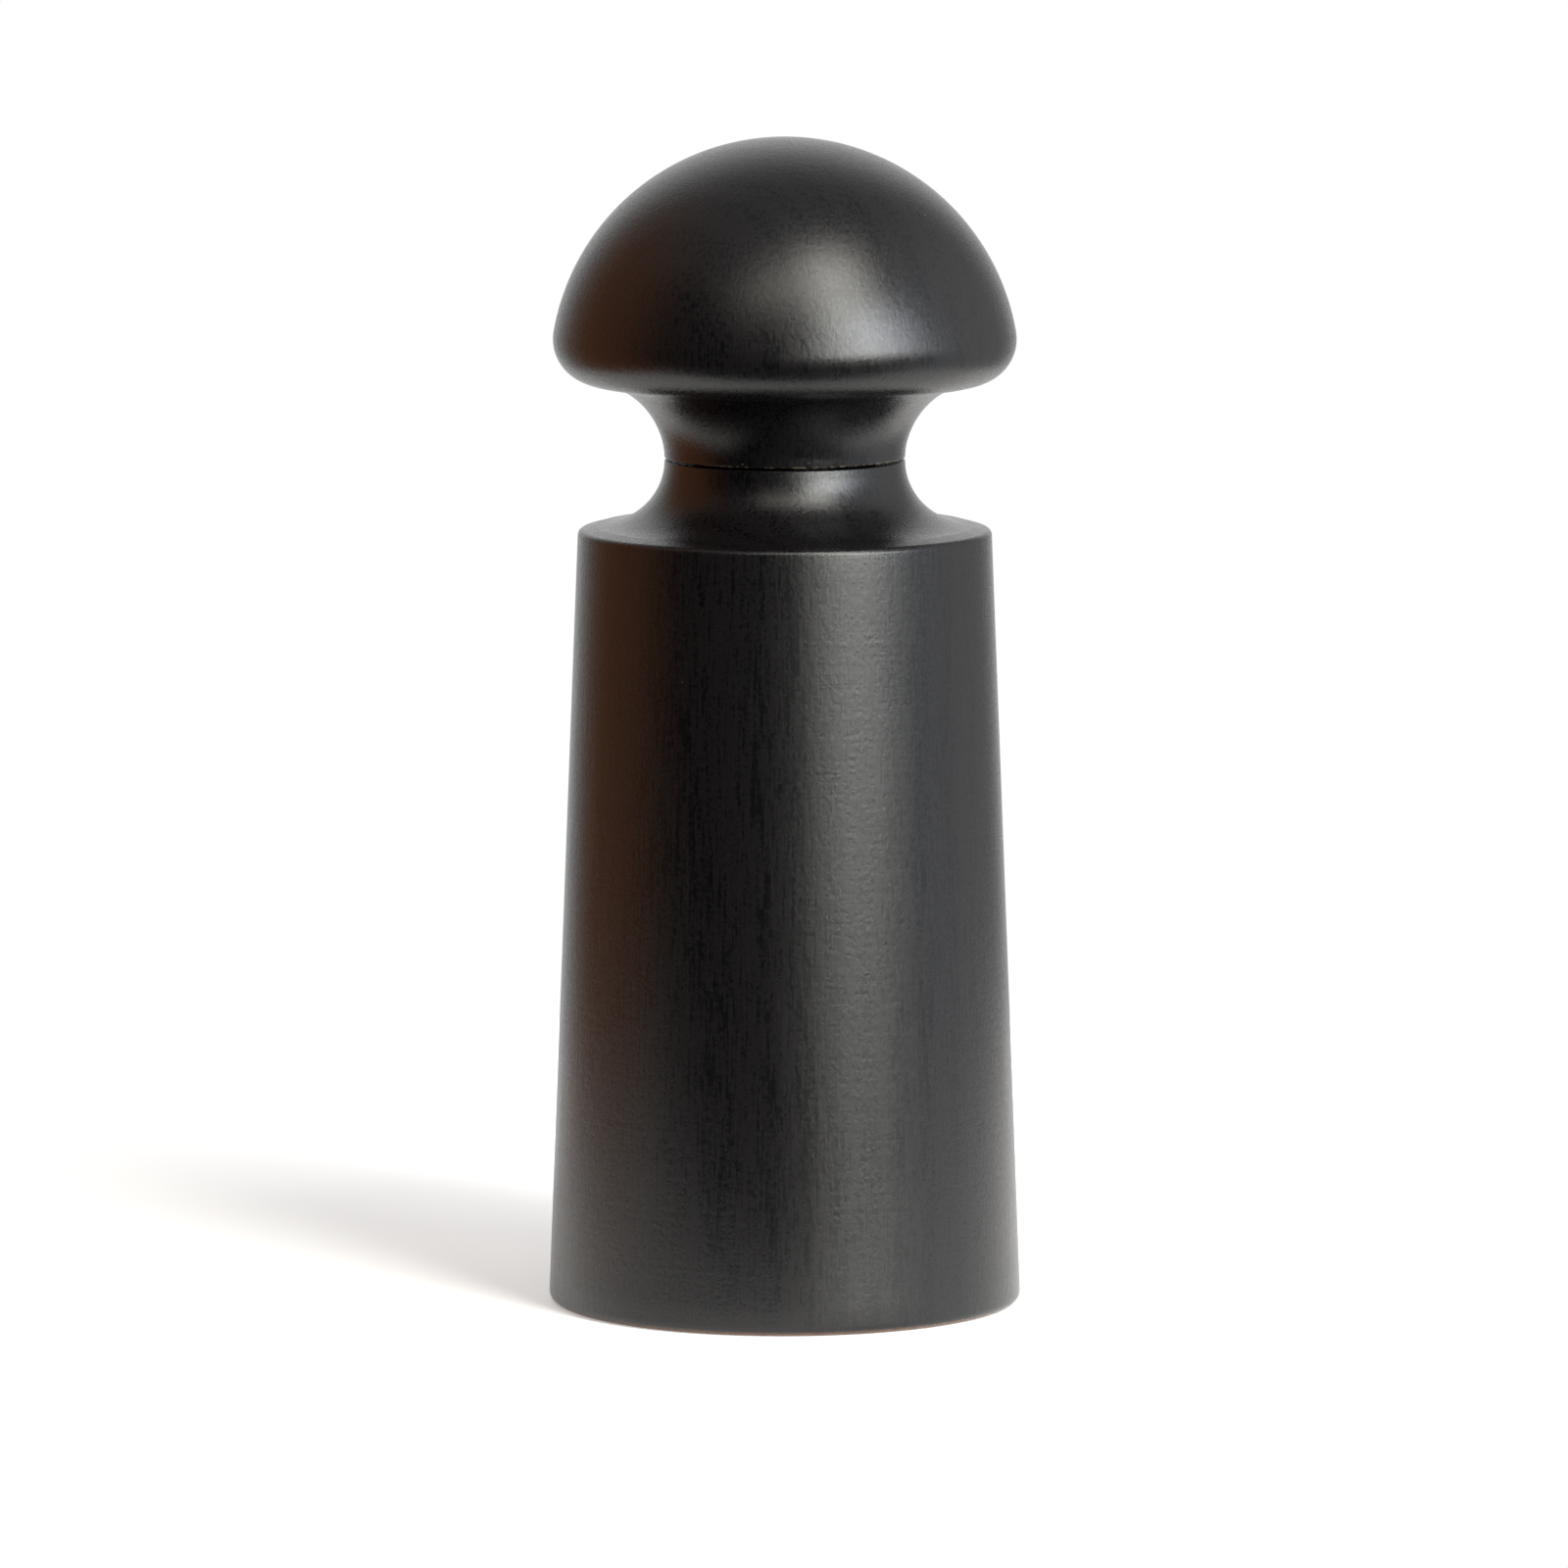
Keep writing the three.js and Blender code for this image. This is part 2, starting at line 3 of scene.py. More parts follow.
import bmesh
import bpy
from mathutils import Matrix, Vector


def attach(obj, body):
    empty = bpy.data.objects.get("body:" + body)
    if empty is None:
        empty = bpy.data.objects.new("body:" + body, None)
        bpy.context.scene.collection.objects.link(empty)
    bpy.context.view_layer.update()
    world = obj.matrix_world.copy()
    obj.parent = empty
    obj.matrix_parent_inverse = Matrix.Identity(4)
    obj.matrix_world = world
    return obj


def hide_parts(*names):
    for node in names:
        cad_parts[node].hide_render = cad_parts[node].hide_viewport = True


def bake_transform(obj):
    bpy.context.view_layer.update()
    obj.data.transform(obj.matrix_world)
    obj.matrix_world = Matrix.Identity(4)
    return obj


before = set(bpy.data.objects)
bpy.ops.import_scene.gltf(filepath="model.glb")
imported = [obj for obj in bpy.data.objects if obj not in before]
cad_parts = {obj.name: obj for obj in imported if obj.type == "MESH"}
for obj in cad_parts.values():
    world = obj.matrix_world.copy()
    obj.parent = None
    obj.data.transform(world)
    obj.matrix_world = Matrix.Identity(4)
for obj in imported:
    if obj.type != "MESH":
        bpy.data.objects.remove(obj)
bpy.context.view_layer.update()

mm = 0.001
scene = bpy.context.scene
scene.view_settings.view_transform = "Standard"


# Turns an sRGB hex colour into linear values.
def toLinear(hexText):
    parts = [int(hexText[i:i + 2], 16) / 255 for i in (1, 3, 5)]
    return [p / 12.92 if p <= 0.04045 else ((p + 0.055) / 1.055) ** 2.4 for p in parts] + [1.0]


# Adds a node. An input is a plain value, or the output socket that feeds it. Stops are a ramp's.
def addNode(tree, kind, inputs=None, settings=None, stops=None):
    node = tree.nodes.new(kind)
    for name, value in (settings or {}).items():
        setattr(node, name, value)
    for name, value in (inputs or {}).items():
        if isinstance(value, bpy.types.NodeSocket):
            tree.links.new(value, node.inputs[name])
        else:
            node.inputs[name].default_value = value
    for i, (place, value) in enumerate(stops or []):
        if i >= len(node.color_ramp.elements):
            node.color_ramp.elements.new(place)
        stop = node.color_ramp.elements[i]
        stop.position = place
        stop.color = value if isinstance(value, list) else (value, value, value, 1)
    return node


# One step of arithmetic. It returns the result's socket.
def calc(tree, operation, *values):
    node = addNode(tree, "ShaderNodeMath", dict(enumerate(values)), {"operation": operation})
    return node.outputs[0]


# Maps a value from one range to another, held inside the second. A curve other than linear is named.
def remap(tree, value, fromStart, fromEnd, toStart=0.0, toEnd=1.0, curve="LINEAR"):
    node = addNode(tree, "ShaderNodeMapRange", {
        0: value, 1: fromStart, 2: fromEnd, 3: toStart, 4: toEnd}, {"interpolation_type": curve})
    return node.outputs[0]


def mixColours(tree, share, first, second):
    node = addNode(tree, "ShaderNodeMix", {0: share, 6: first, 7: second}, {"data_type": "RGBA"})
    return node.outputs[2]


def joinXYZ(tree, *values):
    return addNode(tree, "ShaderNodeCombineXYZ", dict(enumerate(values))).outputs[0]


# Starts a modelling tree with inputs given as name and kind, and one geometry output.
def newTree(name, sockets):
    tree = bpy.data.node_groups.new(name, "GeometryNodeTree")
    for label, kind in sockets:
        tree.interface.new_socket(label, in_out="INPUT", socket_type="NodeSocket" + kind)
    tree.interface.new_socket("Made", in_out="OUTPUT", socket_type="NodeSocketGeometry")
    return tree, addNode(tree, "NodeGroupInput").outputs


# Ends it: what was made becomes real mesh in one finish.
def endTree(tree, made, finish):
    real = addNode(tree, "GeometryNodeRealizeInstances", {"Geometry": made})
    dressed = addNode(tree, "GeometryNodeSetMaterial", {
        "Geometry": real.outputs[0], "Material": finish})
    addNode(tree, "NodeGroupOutput", {0: dressed.outputs[0]})
    return tree


# A chain of points (radius, height) in millimetres. A third number rounds that corner by a radius.
def softened(points, steps=4):
    result = []
    for i, point in enumerate(points):
        if len(point) < 3 or not point[2] or i in (0, len(points) - 1):
            result.append(point[:2])
            continue
        here = Vector(point[:2])
        back = Vector(points[i - 1][:2]) - here
        on = Vector(points[i + 1][:2]) - here
        half = back.angle(on) / 2
        reach = min(point[2] / math.tan(half), back.length * 0.49, on.length * 0.49)
        start = here + back.normalized() * reach
        end = here + on.normalized() * reach
        for k in range(steps + 1):
            t = k / steps
            spot = start * (1 - t) ** 2 + here * 2 * t * (1 - t) + end * t ** 2
            result.append((spot.x, spot.y))
    return result


def onCircle(radius, angle):
    return radius * math.cos(angle), radius * math.sin(angle)


def arcPoints(centreR, centreZ, radius, fromAngle, toAngle, steps):
    angles = [fromAngle + (toAngle - fromAngle) * i / steps for i in range(steps + 1)]
    return [(centreR + radius * math.cos(a), centreZ + radius * math.sin(a)) for a in angles]


# Splits long straight runs, so that no face of a turned piece is drawn out too far.
def divided(points, longest):
    result = [points[0]]
    for a, b in zip(points, points[1:]):
        count = max(1, math.ceil(math.dist(a, b) / longest))
        for k in range(1, count + 1):
            result.append((a[0] + (b[0] - a[0]) * k / count, a[1] + (b[1] - a[1]) * k / count))
    return result


def flatMesh(name, points, edges=(), faces=()):
    mesh = bpy.data.meshes.new(name)
    mesh.from_pydata([[c * mm for c in p] for p in points], edges, faces)
    return mesh


def placed(name, data):
    piece = bpy.data.objects.new(name, data)
    scene.collection.objects.link(piece)
    return piece


# Turns what the modifiers make into a plain mesh on the same object.
def settle(piece):
    graph = bpy.context.evaluated_depsgraph_get()
    made = bpy.data.meshes.new_from_object(piece.evaluated_get(graph), depsgraph=graph)
    piece.modifiers.clear()
    old = piece.data
    piece.data = made
    bpy.data.meshes.remove(old)
    return piece


# Runs a node tree on a piece, with its inputs given by name.
def runTree(piece, tree, values):
    modifier = piece.modifiers.new("shape", "NODES")
    modifier.node_group = tree
    for socket in tree.interface.items_tree:
        if socket.item_type == "SOCKET" and socket.in_out == "INPUT" and socket.name in values:
            modifier[socket.identifier] = values[socket.name]
    return settle(piece)


# What a template point of the lathe may carry: its teeth's depth, number in a turn, twist and keenness.
toothKeys = ("toothDepth", "toothCount", "toothTwist", "toothSharp")


# The lathe: one tree turns a template of points (radius, 0, height) about Z.
def makeLatheTree():
    tree, given = newTree("latheTurning", (
        ("Template", "Geometry"), ("Sides", "Int"), ("Weld distance", "Float"), ("Finish", "Material")))
    count = addNode(tree, "GeometryNodeAttributeDomainSize", {"Geometry": given["Template"]})
    rows = calc(tree, "ADD", given["Sides"], 1.0)
    grid = addNode(tree, "GeometryNodeMeshGrid", {
        "Vertices X": count.outputs["Point Count"], "Vertices Y": rows})
    index = addNode(tree, "GeometryNodeInputIndex")
    column = calc(tree, "FLOOR", calc(tree, "DIVIDE", index.outputs[0], rows))
    row = calc(tree, "FLOORED_MODULO", index.outputs[0], rows)
    turn = calc(tree, "DIVIDE", row, given["Sides"])
    angle = calc(tree, "MULTIPLY", turn, -math.tau)
    point = addNode(tree, "GeometryNodeInputPosition")
    sample = addNode(tree, "GeometryNodeSampleIndex", {
        "Geometry": given["Template"], "Value": point.outputs[0], "Index": column},
        {"data_type": "FLOAT_VECTOR"})
    spot = addNode(tree, "ShaderNodeSeparateXYZ", {0: sample.outputs[0]}).outputs
    cut = {}
    for name in toothKeys:
        carried = addNode(tree, "GeometryNodeInputNamedAttribute", {"Name": name})
        read = addNode(tree, "GeometryNodeSampleIndex", {
            "Geometry": given["Template"], "Value": carried.outputs["Attribute"], "Index": column})
        cut[name] = read.outputs[0]
    twisted = calc(tree, "MULTIPLY_ADD", spot["Z"], cut["toothTwist"], angle)
    swing = calc(tree, "COSINE", calc(tree, "MULTIPLY", twisted, cut["toothCount"]))
    wave = calc(tree, "MULTIPLY_ADD", swing, -0.5, 0.5)
    bite = calc(tree, "MULTIPLY", calc(tree, "POWER", wave, cut["toothSharp"]), cut["toothDepth"])
    radius = calc(tree, "SUBTRACT", spot["X"], bite)
    across = calc(tree, "MULTIPLY", radius, calc(tree, "COSINE", angle))
    along = calc(tree, "MULTIPLY", radius, calc(tree, "SINE", angle))
    moved = addNode(tree, "GeometryNodeSetPosition", {
        "Geometry": grid.outputs["Mesh"], "Position": joinXYZ(tree, across, along, spot["Z"])})
    welded = addNode(tree, "GeometryNodeMergeByDistance", {
        "Geometry": moved.outputs[0], "Distance": given["Weld distance"]})
    return endTree(tree, welded.outputs[0], given["Finish"])


latheTree = makeLatheTree()


# A piece from the lathe. Each band of teeth gives the heights and radii that it covers, and its cut.
def turned(name, points, finish, sides=96, longest=3.0, teeth=()):
    chain = divided(points, longest)
    mesh = flatMesh(name, [(r, 0, z) for r, z in chain], [(i, i + 1) for i in range(len(chain) - 1)])
    for place, key in enumerate(toothKeys):
        layer = mesh.attributes.new(key, "FLOAT", "POINT")
        for i, (r, z) in enumerate(chain):
            layer.data[i].value = 1.0 if key == "toothSharp" else 0.0
            for band in teeth:
                outer = band.get("outer", math.inf)
                if band["from"] <= z <= band["to"] and band["inner"] <= r <= outer:
                    layer.data[i].value = band["cut"][place]
    piece = placed(name, mesh)
    return runTree(piece, latheTree, {"Sides": sides, "Weld distance": 0.001 * mm, "Finish": finish})


# A straight block on a flat outline, between two heights.
def prism(name, outline, low, high):
    count = len(outline)
    points = [(x, y, low) for x, y in outline] + [(x, y, high) for x, y in outline]
    faces = [tuple(reversed(range(count))), tuple(range(count, 2 * count))]
    faces += [(i, (i + 1) % count, count + (i + 1) % count, count + i) for i in range(count)]
    return placed(name, flatMesh(name, points, faces=faces))


# A tool that cuts right through a piece: it runs past both faces.
def throughTool(outline, low, high):
    overrun = 1
    return prism("tool", outline, low - overrun, high + overrun)


def polygon(corner, sides, turn=0.0, centre=(0, 0)):
    angles = [turn + math.tau * i / sides for i in range(sides)]
    return [(centre[0] + corner * math.cos(a), centre[1] + corner * math.sin(a)) for a in angles]


def rectangle(width, depth, centre=(0, 0)):
    x, y = width / 2, depth / 2
    return [(centre[0] + a, centre[1] + b) for a, b in ((-x, -y), (x, -y), (x, y), (-x, y))]


def rotated(outline, angle):
    c, s = math.cos(angle), math.sin(angle)
    return [(x * c - y * s, x * s + y * c) for x, y in outline]


# Joins or cuts a piece with others, which are used up.
def worked(piece, tools, operation="DIFFERENCE"):
    for tool in tools:
        modifier = piece.modifiers.new("work", "BOOLEAN")
        modifier.operation = operation
        modifier.solver = "EXACT"
        modifier.object = tool
    settle(piece)
    for tool in tools:
        bpy.data.objects.remove(tool)


# Rounds a piece's hard edges by a small amount.
def eased(piece, width, angle=35):
    modifier = piece.modifiers.new("ease", "BEVEL")
    modifier.width = width * mm
    modifier.segments = 2
    modifier.limit_method = "ANGLE"
    modifier.angle_limit = math.radians(angle)
    settle(piece)


# Points the faces outwards, marks the hard edges, and says what the piece is in the frame.
# A piece without a body is left unattached.
def fit(piece, finish, body, nodes, sharp=32):
    mesh = piece.data
    build = bmesh.new()
    build.from_mesh(mesh)
    bmesh.ops.remove_doubles(build, verts=build.verts, dist=2e-6)
    bmesh.ops.dissolve_degenerate(build, edges=build.edges, dist=1e-6)
    if build.calc_volume(signed=True) < 0:
        bmesh.ops.reverse_faces(build, faces=build.faces)
    for part in build.faces:
        part.smooth = True
        part.material_index = 0
    for edge in build.edges:
        edge.smooth = len(edge.link_faces) == 2 and edge.calc_face_angle(0.0) < math.radians(sharp)
    build.to_mesh(mesh)
    build.free()
    for name in toothKeys:
        if name in mesh.attributes:
            mesh.attributes.remove(mesh.attributes[name])
    mesh.materials.clear()
    mesh.materials.append(finish)
    if body:
        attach(piece, body)
    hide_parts(*nodes)
    print("made", piece.name, len(mesh.polygons), "faces")


# Finishes: each starts from an empty tree and the piece's own coordinates.
def newFinish(name):
    finish = bpy.data.materials.new(name)
    finish.use_nodes = True
    tree = finish.node_tree
    tree.nodes.clear()
    return finish, tree, addNode(tree, "ShaderNodeTexCoord").outputs["Object"]


# Ends a finish with one surface shader, whose inputs are given by name.
def shade(tree, inputs):
    shell = addNode(tree, "ShaderNodeBsdfPrincipled", inputs)
    addNode(tree, "ShaderNodeOutputMaterial", {"Surface": shell.outputs[0]})


# Noise over a position that is stretched to a size in millimetres along each axis.
def stretchedNoise(tree, place, size, detail, roughness=0.5):
    drawn = addNode(tree, "ShaderNodeMapping", {
        "Vector": place, "Scale": tuple(1 / (v * mm) for v in size)})
    noise = addNode(tree, "ShaderNodeTexNoise", {
        "Vector": drawn.outputs[0], "Scale": 1.0, "Detail": detail, "Roughness": roughness})
    return noise.outputs["Fac"]


# Noise of one size in millimetres.
def evenNoise(tree, place, size, detail, roughness=0.5):
    noise = addNode(tree, "ShaderNodeTexNoise", {
        "Vector": place, "Scale": 1 / (size * mm), "Detail": detail, "Roughness": roughness})
    return noise.outputs["Fac"]


# Maple or beech, stained black right through the surface, sanded on the lathe and waxed: a near-black
# satin with long fine grain, mottling, and a trace of the pale wood where the lip has rubbed.
# The foot's brown band in these settings is painted light: floor bounce on the lowest edge.
woodSettings = {
    "stain": "#040406", "stainPale": "#0f0d0e", "bareWood": "#857562", "paintedFootLight": "#7a5233",
    "moteGrey": "#77716a", "roughness": 0.28, "roughnessSpread": 0.04, "ringSpacing": 4.2,
    "fibreWidth": 0.4, "fibreLength": 9.0, "poreWidth": 0.22, "poreLength": 1.6, "mottleSize": 0.6,
    "toolSpacing": 0.5, "toolReach": 40.0, "motePitch": 7.0, "moteRadius": 0.13, "seamLevel": 107.8,
    "lipRadius": 15.2, "lipFade": (0.26, 0.05, -0.05, -0.15), "fleckSize": 0.7, "paintedFootLightReach": 0.7,
    "paintedFootLightFull": 0.15, "bumpStrength": 0.5, "bumpDepth": 0.05,
}


def makeWood():
    s = woodSettings
    finish, tree, place = newFinish("ebonisedTurnedWood")
    spot = addNode(tree, "ShaderNodeSeparateXYZ", {0: place}).outputs
    # growth rings: tall cylinders round a heart that lies outside the blank
    heart = addNode(tree, "ShaderNodeMapping", {
        "Vector": place, "Location": (0.031, 0.047, 0), "Scale": (1, 1, 0.05)})
    rings = addNode(tree, "ShaderNodeTexWave", {
        "Vector": heart.outputs[0], "Scale": 0.314 / (s["ringSpacing"] * mm), "Distortion": 5.0,
        "Detail": 3.0, "Detail Scale": 0.35, "Detail Roughness": 0.7},
        {"wave_type": "RINGS", "rings_direction": "Z"})
    # fibres: soft streaks that run up the blank
    streaks = stretchedNoise(tree, place, (s["fibreWidth"], s["fibreWidth"], s["fibreLength"]), 4.0, 0.6)
    # pores: short dark dashes, here and there
    dashes = stretchedNoise(tree, place, (s["poreWidth"], s["poreWidth"], s["poreLength"]), 1.0)
    pores = remap(tree, dashes, 0.70, 0.80)
    # mottling: the stain lies a little thicker and duller in cloudy spots
    mottle = evenNoise(tree, place, s["mottleSize"], 6.0, 0.72)
    # tool lines: fine rings that the chisel and the paper leave round the axis
    lines = stretchedNoise(tree, place, (s["toolReach"], s["toolReach"], s["toolSpacing"]), 3.0, 0.55)
    blend = calc(tree, "ADD", mottle, calc(tree, "MULTIPLY_ADD", rings.outputs["Fac"], 0.1, streaks))
    colour = addNode(tree, "ShaderNodeValToRGB", {0: blend}, stops=[
        (0.92, toLinear(s["stain"])), (1.2, toLinear(s["stainPale"]))])
    # rubbed lip under the head: pale flecks in a thin band round the outside of the seam
    offSeam = calc(tree, "SUBTRACT", spot["Z"], s["seamLevel"] * mm)
    highest, high, low, lowest = [v * mm for v in s["lipFade"]]
    level = calc(tree, "MULTIPLY", remap(tree, offSeam, highest, high), remap(tree, offSeam, lowest, low))
    reach = addNode(tree, "ShaderNodeVectorMath", {
        0: joinXYZ(tree, spot["X"], spot["Y"])}, {"operation": "LENGTH"})
    outside = remap(tree, reach.outputs["Value"], (s["lipRadius"] - 0.4) * mm, (s["lipRadius"] - 0.2) * mm)
    flecks = evenNoise(tree, place, s["fleckSize"], 3.0)
    fleckMask = remap(tree, flecks, 0.46, 0.62, 0.0, 0.65)
    bare = calc(tree, "MULTIPLY", calc(tree, "MULTIPLY", level, outside), fleckMask)
    lipped = mixColours(tree, bare, colour.outputs[0], toLinear(s["bareWood"]))
    # foot edge: painted light, a brown band at the lowest edge for light bounced up from the floor, broken
    # by the fleck noise
    paintedFootLightMask = remap(tree, spot["Z"], s["paintedFootLightReach"] * mm, s["paintedFootLightFull"] * mm, 0.0, 1.2)
    withPaintedFootLight = mixColours(tree, calc(tree, "MULTIPLY", paintedFootLightMask, flecks), lipped, toLinear(s["paintedFootLight"]))
    # motes: a few specks of dust held by the wax
    cells = addNode(tree, "ShaderNodeTexVoronoi", {
        "Vector": place, "Scale": 1 / (s["motePitch"] * mm)})
    edge = s["moteRadius"] / s["motePitch"]
    motes = remap(tree, cells.outputs["Distance"], edge, 0.5 * edge, 0.0, 0.6)
    skin = mixColours(tree, motes, withPaintedFootLight, toLinear(s["moteGrey"]))
    # gloss and relief: duller where the stain is thick, with the pores sunk in
    glossy, dull = s["roughness"] - s["roughnessSpread"], s["roughness"] + s["roughnessSpread"]
    rough = calc(tree, "MULTIPLY_ADD", pores, 0.06, remap(tree, blend, 0.85, 1.35, glossy, dull))
    relief = calc(tree, "MULTIPLY", mottle, 1.9)
    for layer, share in ((lines, 0.5), (streaks, 0.8), (pores, -0.12)):
        relief = calc(tree, "MULTIPLY_ADD", layer, share, relief)
    bump = addNode(tree, "ShaderNodeBump", {
        "Strength": s["bumpStrength"], "Distance": s["bumpDepth"] * mm, "Height": relief})
    shade(tree, {"Base Color": skin, "Roughness": rough, "IOR": 1.5, "Normal": bump.outputs[0]})
    return finish


# What moulded and metal finishes share: a cloud gives the colour, with its own roughness and relief.
def plainFinish(tree, cloud, rough, relief, s):
    colour = addNode(tree, "ShaderNodeValToRGB", {0: cloud}, stops=[
        (0.3, toLinear(s["dark"])), (0.7, toLinear(s["pale"]))])
    bump = addNode(tree, "ShaderNodeBump", {
        "Strength": s["bump"], "Distance": 0.02 * mm, "Height": relief})
    shade(tree, {
        "Base Color": colour.outputs[0], "Roughness": rough, "IOR": s["ior"], "Metallic": s["metallic"],
        "Normal": bump.outputs[0]})


# A plastic as it comes from a spark-eroded mould: an even colour under a fine dull grain.
def makeMoulded(name, s):
    finish, tree, place = newFinish(name)
    cloud = evenNoise(tree, place, s["flow"], 3.0)
    rough = remap(tree, cloud, 0.3, 0.7, s["roughLow"], s["roughHigh"])
    plainFinish(tree, cloud, rough, evenNoise(tree, place, s["grain"], 3.0, 0.6), dict(s, metallic=0.0))
    return finish


# A metal with lines along one axis, from drawing, pressing or turning.
def makeMetal(name, s):
    finish, tree, place = newFinish(name)
    lines = stretchedNoise(tree, place, s["lineSize"], 3.0, 0.6)
    cloud = evenNoise(tree, place, s["cloudSize"], 4.0)
    mixed = calc(tree, "MULTIPLY_ADD", lines, 0.6, cloud)
    rough = remap(tree, mixed, 0.5, 1.1, s["roughLow"], s["roughHigh"])
    plainFinish(tree, cloud, rough, lines, dict(s, metallic=1.0, ior=1.5))
    return finish


ebonisedWood = makeWood()

# nylon, moulded black: dull, with the mould's fine grain
blackNylon = makeMoulded("mouldedBlackNylon", {
    "dark": "#161617", "pale": "#1f1f20", "grain": 0.22, "flow": 6, "roughLow": 0.42, "roughHigh": 0.56,
    "bump": 0.35, "ior": 1.53})

# acetal, moulded in its own milky white: smooth, a little waxy
whiteAcetal = makeMoulded("mouldedWhiteAcetal", {
    "dark": "#d9d7cd", "pale": "#e6e4dc", "grain": 0.5, "flow": 5, "roughLow": 0.3, "roughHigh": 0.4,
    "bump": 0.12, "ior": 1.48})

# alumina, pressed and fired without glaze: warm white, chalky, with a sandy grain
firedCeramic = makeMoulded("firedAluminaCeramic", {
    "dark": "#d6cfbf", "pale": "#ece7da", "grain": 0.3, "flow": 1.6, "roughLow": 0.48, "roughHigh": 0.66,
    "bump": 0.5, "ior": 1.7})

# aluminium bar, extruded: soft grey with long lines up the bar
extrudedAluminium = makeMetal("extrudedAluminiumBar", {
    "dark": "#b3b4b6", "pale": "#cfd0d1", "lineSize": (0.12, 0.12, 9), "roughLow": 0.26, "roughHigh": 0.42,
    "bump": 0.3, "cloudSize": 4})

# steel, zinc plated bright after pressing: cool grey with small cloudy changes of gloss
zincSteel = makeMetal("brightZincedSteel", {
    "dark": "#a4a7ab", "pale": "#c6c8ca", "lineSize": (0.5, 0.5, 0.12), "roughLow": 0.16, "roughHigh": 0.34,
    "bump": 0.15, "cloudSize": 4})

# spring steel wire, drawn: darker and glossier, with lines along its run
springSteel = makeMetal("drawnSpringSteel", {
    "dark": "#85878b", "pale": "#a9abae", "lineSize": (0.8, 0.8, 0.1), "roughLow": 0.14, "roughHigh": 0.3,
    "bump": 0.15, "cloudSize": 4})
print("finishes ready")


# The head: knob, hollow neck and spigot, turned in one piece.
headSizes = {
    "lip": 107.8, "lipRound": 0.18, "waist": 15.217, "coveOut": 23.7, "coveHeight": 9.4, "fullness": 1.85,
    "rimRound": 5.6, "rimLevel": 122.8, "domeLevel": 118.637, "domeRadius": 29.663, "spigotRadius": 11.717,
    "spigotFoot": 100.9, "bore": 7.217, "boreTop": 116.3,
}


# A hollow from a waist out to a width. A fullness of 2 is a quarter ellipse, and less is flatter.
def covePoints(waist, width, level, rise, fullness, steps):
    points = []
    for i in range(steps + 1):
        t = math.pi / 2 * i / steps
        out = 1 - max(0.0, math.cos(t)) ** (2 / fullness)
        points.append((waist + width * out, level + rise * math.sin(t) ** (2 / fullness)))
    return points


def makeHead():
    s = headSizes
    rimEnd = math.atan2(s["rimLevel"] - s["domeLevel"], s["coveOut"])
    cove = covePoints(s["waist"], s["coveOut"] - s["waist"], s["lip"], s["coveHeight"], s["fullness"], 30)
    lip = softened([(s["spigotRadius"], s["lip"]), (s["waist"], s["lip"], s["lipRound"]), cove[2]])
    under = softened([
        (0, s["boreTop"]), (s["bore"], s["boreTop"], 0.3), (s["bore"], s["spigotFoot"], 0.3),
        (s["spigotRadius"], s["spigotFoot"], 0.3), (s["spigotRadius"], s["lip"])])
    rim = arcPoints(s["coveOut"], s["rimLevel"], s["rimRound"], -math.pi / 2, rimEnd, 26)
    dome = arcPoints(0, s["domeLevel"], s["domeRadius"], rimEnd, math.pi / 2, 44)
    dome[-1] = (0, s["domeLevel"] + s["domeRadius"])
    outline = under + lip[1:-1] + cove[2:] + rim[1:] + dome[1:]
    piece = turned("turnedHead", outline, ebonisedWood, sides=256)
    fit(piece, ebonisedWood, "head", ["head"])


# The barrel: cone, shoulder and neck outside, with the throat, the chamber and the recess inside.
barrelSizes = {
    "foot": 29.993, "footRound": 1.3, "shoulder": 25.417, "shoulderLevel": 97.9, "shoulderRound": 0.8,
    "landOut": 24.017, "landLevel": 99.1, "waist": 15.217, "rim": 107.5, "rimRound": 0.2, "throat": 12.017,
    "throatFoot": 96.3, "chamber": 18.893, "funnelFoot": 89.3, "ceiling": 9.3, "recess": 24.393,
    "recessBreak": 0.8,
}


def makeBarrel():
    s = barrelSizes
    cove = covePoints(s["waist"], s["landOut"] - s["waist"], s["rim"], s["landLevel"] - s["rim"], 2, 30)
    foot = arcPoints(s["foot"] - s["footRound"], s["footRound"], s["footRound"], -math.pi / 2, 0, 10)
    edge = arcPoints(s["shoulder"], s["shoulderLevel"], s["shoulderRound"], 0, math.pi / 2, 10)
    mouth = (s["recess"] + s["recessBreak"], 0)
    neck = cove[:1:-1]
    rim = softened([neck[-1], (s["waist"], s["rim"], s["rimRound"]), (s["throat"], s["rim"], 0.3),
                    (s["throat"], s["throatFoot"] + 3)])
    inside = softened([
        rim[-1], (s["throat"], s["throatFoot"], 0.5), (s["chamber"], s["funnelFoot"], 0.5),
        (s["chamber"], s["ceiling"], 0.2), (s["recess"], s["ceiling"], 0.2), (s["recess"], s["recessBreak"]),
        mouth])
    outline = [mouth] + foot + edge + neck + rim[1:-1] + inside[1:]
    piece = turned("turnedBarrel", outline, ebonisedWood, sides=256)
    fit(piece, ebonisedWood, "barrel", ["barrel"])


makeHead()
makeBarrel()


# The screws: the tree cuts a cross recess in one head and repeats the screw on a ring, each turned
# further than the last by this angle.
turnPerScrew = 1.13


